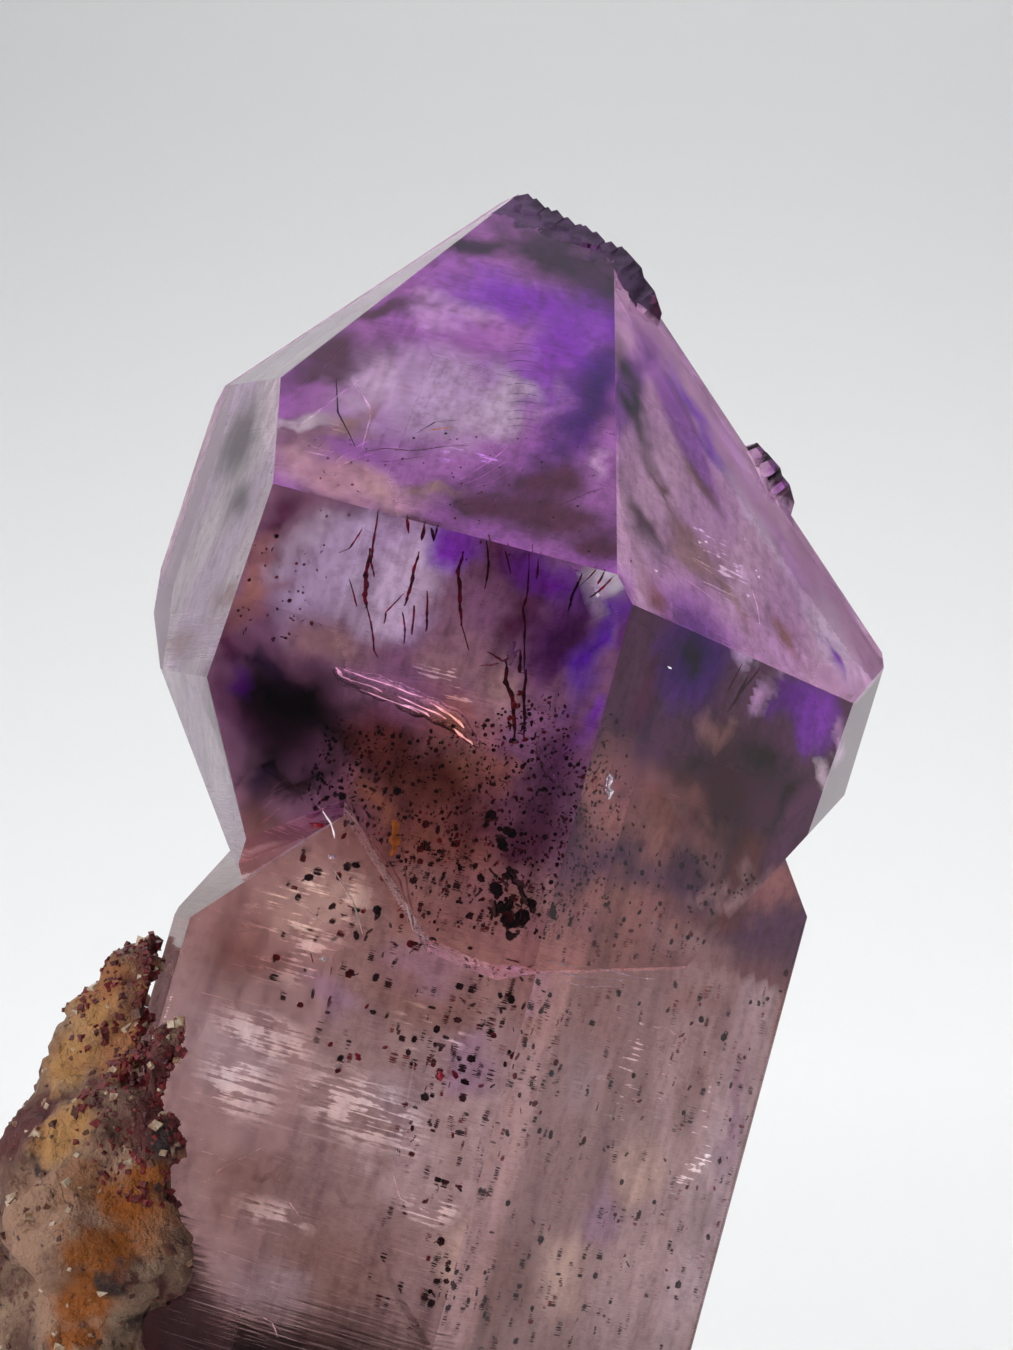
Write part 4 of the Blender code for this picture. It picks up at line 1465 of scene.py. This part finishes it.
def smooth_path(points, steps):
    """Catmull-Rom curve through the points, as one array."""
    points = np.asarray(points, dtype=float)
    padded = np.vstack([2 * points[0] - points[1], points, 2 * points[-1] - points[-2]])
    pieces = []
    t = np.linspace(0.0, 1.0, steps, endpoint=False)[:, None]
    for k in range(len(points) - 1):
        a, b, c, d = padded[k:k + 4]
        pieces.append(0.5 * (2 * b + (c - a) * t + (2 * a - 5 * b + 4 * c - d) * t ** 2
                             + (3 * b - a - 3 * c + d) * t ** 3))
    return np.vstack(pieces + [points[-1:]])


def gas_material():
    """A smooth wall whose inside bends light less than the quartz around it."""
    shade = Shade("gas in quartz")
    wrinkles = shade.noise(shade.place(), 3.5, 3.0, 0.6)
    shade.principled(
        Base_Color=(0.97, 0.97, 0.98), Roughness=0.02, IOR=1.0 / QUARTZ_IOR,
        Transmission_Weight=1.0, Normal=shade.bump(wrinkles, 0.00012, 0.5),
    )
    return shade.material


def make_tube():
    """Flattened rings round a smooth path, made lumpy by soft noise of two sizes."""
    middle = smooth_path([under_face(x, y, "front", TUBE_DEPTH) for x, y in TUBE_PATH], 9)
    radii = smooth_path([[radius, 0, 0] for radius in TUBE_RADII], 9)[:, 0]
    turn = np.arange(TUBE_SIDES) * (2 * math.pi / TUBE_SIDES)
    forward = np.gradient(middle, axis=0)
    forward /= np.linalg.norm(forward, axis=1)[:, None]
    front = face_direction(*FACES["front"][1:3])
    lift = np.cross(front, forward)
    lift /= np.linalg.norm(lift, axis=1)[:, None]
    high = np.cos(turn)[None, :, None] * radii[:, None, None]
    deep = np.sin(turn)[None, :, None] * radii[:, None, None] * FLATTENED
    out = (lift[:, None, :] * high + front[None, None, :] * deep).reshape(-1, 3)
    points = np.repeat(middle, TUBE_SIDES, axis=0) + out
    lumps = 0.16 * soft_noise(points, 1.1, 2) + 0.10 * soft_noise(points, 0.45, 4)
    faces = tube_faces(len(middle), TUBE_SIDES)
    new_piece("fluid_tube", points + out * lumps[:, None], faces, gas_material(), smooth=True)
    print("fluid tube:", len(middle), "rings, widest radius", round(float(radii.max()), 2), "mm")


make_tube()

# %% [markdown]
# ## Host rock
#
# The lump is weathered and granular: cream and grey quartz grains, tan clay, maroon iron crust where it
# meets the crystal and a rusty ochre streak low on the front. The measured solid gives the lumps. A copy
# is refined and roughened at three smaller sizes. Its skin is mottled by noise of several sizes, with
# listed patches of paint laid over it.


# %% Host rock
def rock_tree():
    """The rock's solid as a search tree, in mm."""
    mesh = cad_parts["matrix_rock"].data
    corners = [vertex.co / MM for vertex in mesh.vertices]
    return BVHTree.FromPolygons(corners, [tuple(face.vertices) for face in mesh.polygons])


ROCK_TREE = rock_tree()

# How far in front of the axis the rock's front lies, along Y in mm.
ROCK_FRONT = -8.0

# Photo places of the maroon crust beside the crystal.
CRUST = ((165, 960), (172, 1010), (165, 1070), (160, 1120))


def on_rock(across, down):
    """The point of the rock seen at a photo pixel, in mm, or the nearest one where the sight misses it."""
    line = sight_line(across, down)
    hit = ROCK_TREE.ray_cast(Vector(EYE), Vector(line))[0]
    if hit is None:
        hit = ROCK_TREE.find_nearest(Vector(EYE + line * (ROCK_FRONT - EYE[1]) / line[1]))[0]
    return np.array(hit)


# Paints in the order they are laid: colour, then ragged patches as photo place and radius in mm.
ROCK_PAINTS = (
    ((196, 142, 84), ((110, 1000, 1.9), (70, 1060, 1.3), (60, 1130, 1.2))),
    ((170, 108, 66), ((100, 980, 1.0), (120, 1050, 1.2), (140, 1210, 1.4), (75, 1190, 0.8))),
    ((92, 34, 36), (
        (165, 960, 1.3), (172, 1010, 1.2), (165, 1070, 1.3), (160, 1120, 1.3), (20, 1130, 1.5),
    )),
    ((176, 134, 110), ((30, 1220, 2.0), (45, 1290, 1.6), (120, 1160, 0.9))),
    ((160, 84, 4), (
        (152, 1175, 0.8), (125, 1210, 1.0), (100, 1250, 1.1), (82, 1295, 1.1), (75, 1335, 0.9),
    )),
    ((46, 30, 28), (
        (172, 1140, 0.7), (185, 1120, 0.5), (110, 1290, 0.5), (145, 1330, 0.7), (40, 1170, 0.4),
    )),
)


def rock_material():
    """Mottled brown and tan, with the paints laid over it and bumps of three sizes."""
    shade = Shade("weathered rock")
    spot = shade.place()
    large = shade.noise(spot, 0.25, 4.0, 0.6, 0.6)
    middle = shade.noise(spot, 0.8, 4.0, 0.65, 0.4)
    fine = shade.noise(spot, 3.0, 4.0, 0.7)
    grains = shade.cells(spot, 2.6)
    colour = shade.blend(large.clear_step(0.40, 0.60), rgb(104, 70, 58), rgb(158, 126, 104))
    colour = shade.blend(middle.clear_step(0.46, 0.34), colour, rgb(92, 46, 44))
    colour = shade.blend(middle.clear_step(0.56, 0.70) * 0.6, colour, rgb(190, 160, 134))
    ragged = shade.warped(spot, 0.9, 2.2)
    for paint, places in ROCK_PAINTS:
        mask = 0.0
        for across, down, radius in places:
            mask = shade.patch(ragged, on_rock(across, down), radius * 1.25, 0.7).at_least(mask)
        colour = shade.blend(mask * 0.92, colour, rgb(*paint))
    colour = shade.blend(fine.clear_step(0.60, 0.74) * 0.55, colour, rgb(200, 168, 138))
    colour = shade.blend(fine.clear_step(0.42, 0.30) * 0.9, colour, rgb(44, 28, 26))
    height = middle * 1.2 + fine * 0.7 - grains * 0.3
    shade.principled(
        Base_Color=colour, Roughness=0.55 + fine * 0.35, Normal=shade.bump(height, 0.0004, 1.0),
        Specular_IOR_Level=0.5,
    )
    return shade.material


def make_rock():
    """The rock's solid, each triangle split to nine, evened out and then roughened by soft noise."""
    block = bmesh.new()
    block.from_mesh(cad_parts["matrix_rock"].data)
    bmesh.ops.remove_doubles(block, verts=block.verts[:], dist=2e-6)
    bmesh.ops.subdivide_edges(block, edges=block.edges[:], cuts=2, use_grid_fill=True)
    bmesh.ops.triangulate(block, faces=block.faces[:])
    raised = [vertex for vertex in block.verts if vertex.co.z > 0.0001]
    for _ in range(3):
        bmesh.ops.smooth_vert(
            block, verts=raised, factor=0.5, use_axis_x=True, use_axis_y=True, use_axis_z=True,
        )
    block.normal_update()
    points = np.array([vertex.co for vertex in block.verts]) / MM
    normals = np.array([vertex.normal for vertex in block.verts])
    rough = (0.20 * soft_noise(points, 2.1, 1) + 0.13 * soft_noise(points, 1.0, 2)
             + 0.09 * soft_noise(points, 0.55, 3) - 0.05)
    moved = points + normals * rough[:, None]
    on_ground = points[:, 2] < 0.1
    moved[on_ground] = points[on_ground]
    moved[:, 2] = np.maximum(moved[:, 2], 0.0)
    mesh = bpy.data.meshes.new("rock_skin")
    block.to_mesh(mesh)
    block.free()
    mesh.vertices.foreach_set("co", (moved * MM).ravel())
    mesh.update()
    mesh.shade_smooth()
    rock = put("rock_skin", mesh)
    mesh.materials.append(rock_material())
    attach(rock, "root")
    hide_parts("matrix_rock")
    print("rock triangles", len(mesh.polygons))
    return moved, normals


ROCK_POINTS, ROCK_NORMALS = make_rock()

# %% [markdown]
# ## Grains on the rock
#
# Up close the rock is a crumble of small grains: glassy cream ones, brown ones, and a crimson iron crust
# beside the crystal. Bump alone can't give them shadows. Each grain is a rough eight-cornered crumb half
# sunk in the surface.


# %% Rock grains
def crumb_shape():
    """A cube's eight corners moved to the ball of radius one, then each a little nearer or farther."""
    corners = np.array([[x, y, z] for x in (-1, 1) for y in (-1, 1) for z in (-1, 1)], dtype=float)
    corners /= np.linalg.norm(corners, axis=1)[:, None]
    corners *= np.array([1.0, 0.8, 1.1, 0.9, 0.75, 1.05, 0.85, 1.0])[:, None]
    faces = [[0, 1, 3, 2], [4, 6, 7, 5], [0, 4, 5, 1], [2, 3, 7, 6], [0, 2, 6, 4], [1, 5, 7, 3]]
    return corners, faces


def crumb_material(name, first, second, gloss):
    """Two colours in patches on a finely pitted, fairly glossy grain."""
    shade = Shade(name)
    spot = shade.place()
    patchy = shade.noise(spot, 2.2, 3.0, 0.6).clear_step(0.38, 0.62)
    fine = shade.noise(spot, 9.0, 2.0, 0.6)
    shade.principled(
        Base_Color=shade.blend(patchy, rgb(*first), rgb(*second)), Roughness=gloss + fine * 0.2,
        Normal=shade.bump(fine, 0.00006, 0.8),
    )
    return shade.material


# For each kind: how many, smallest and largest radius in mm, two colours, roughness, and how far from
# the crust they reach in mm.
GRAINS = (
    ("cream_grains", 900, (0.10, 0.34), (205, 184, 160), (150, 112, 84), 0.3, math.inf),
    ("brown_grains", 800, (0.10, 0.30), (120, 72, 48), (70, 40, 36), 0.5, math.inf),
    ("crimson_grains", 700, (0.09, 0.22), (130, 36, 40), (74, 22, 28), 0.4, 2.6),
)


# Crumbs sit on skin this high above the ground and not farther right than this, both in mm. None lies
# lower than the last height. Each is sunk by this share of its radius.
SKIN_FOOT = 0.6
SKIN_RIGHT = 9.0
LOWEST = 0.45
SUNK = 0.35


def make_crumbs():
    """Crumbs of each kind at random points of the rock's skin, clear of its foot and its far side."""
    chance = np.random.default_rng(8)
    free = np.flatnonzero((ROCK_POINTS[:, 2] > SKIN_FOOT) & (ROCK_POINTS[:, 0] < SKIN_RIGHT))
    crust = np.array([on_rock(across, down) for across, down in CRUST])
    gaps = np.linalg.norm(ROCK_POINTS[free][:, None, :] - crust[None], axis=2).min(axis=1)
    for name, count, sizes, first, second, gloss, reach in GRAINS:
        pool = free[gaps < reach]
        pick = chance.choice(pool, size=min(count, len(pool)), replace=False)
        size = sizes[0] + (sizes[1] - sizes[0]) * chance.random(len(pick)) ** 2
        places = ROCK_POINTS[pick] - ROCK_NORMALS[pick] * size[:, None] * SUNK
        places[:, 2] = np.maximum(places[:, 2], LOWEST)
        turns = random_turns(chance, len(pick)) * size[:, None, None]
        points, faces = copies(crumb_shape(), turns, places)
        new_piece(name, points, faces, crumb_material(name, first, second, gloss))
        print(name, len(pick))


make_crumbs()
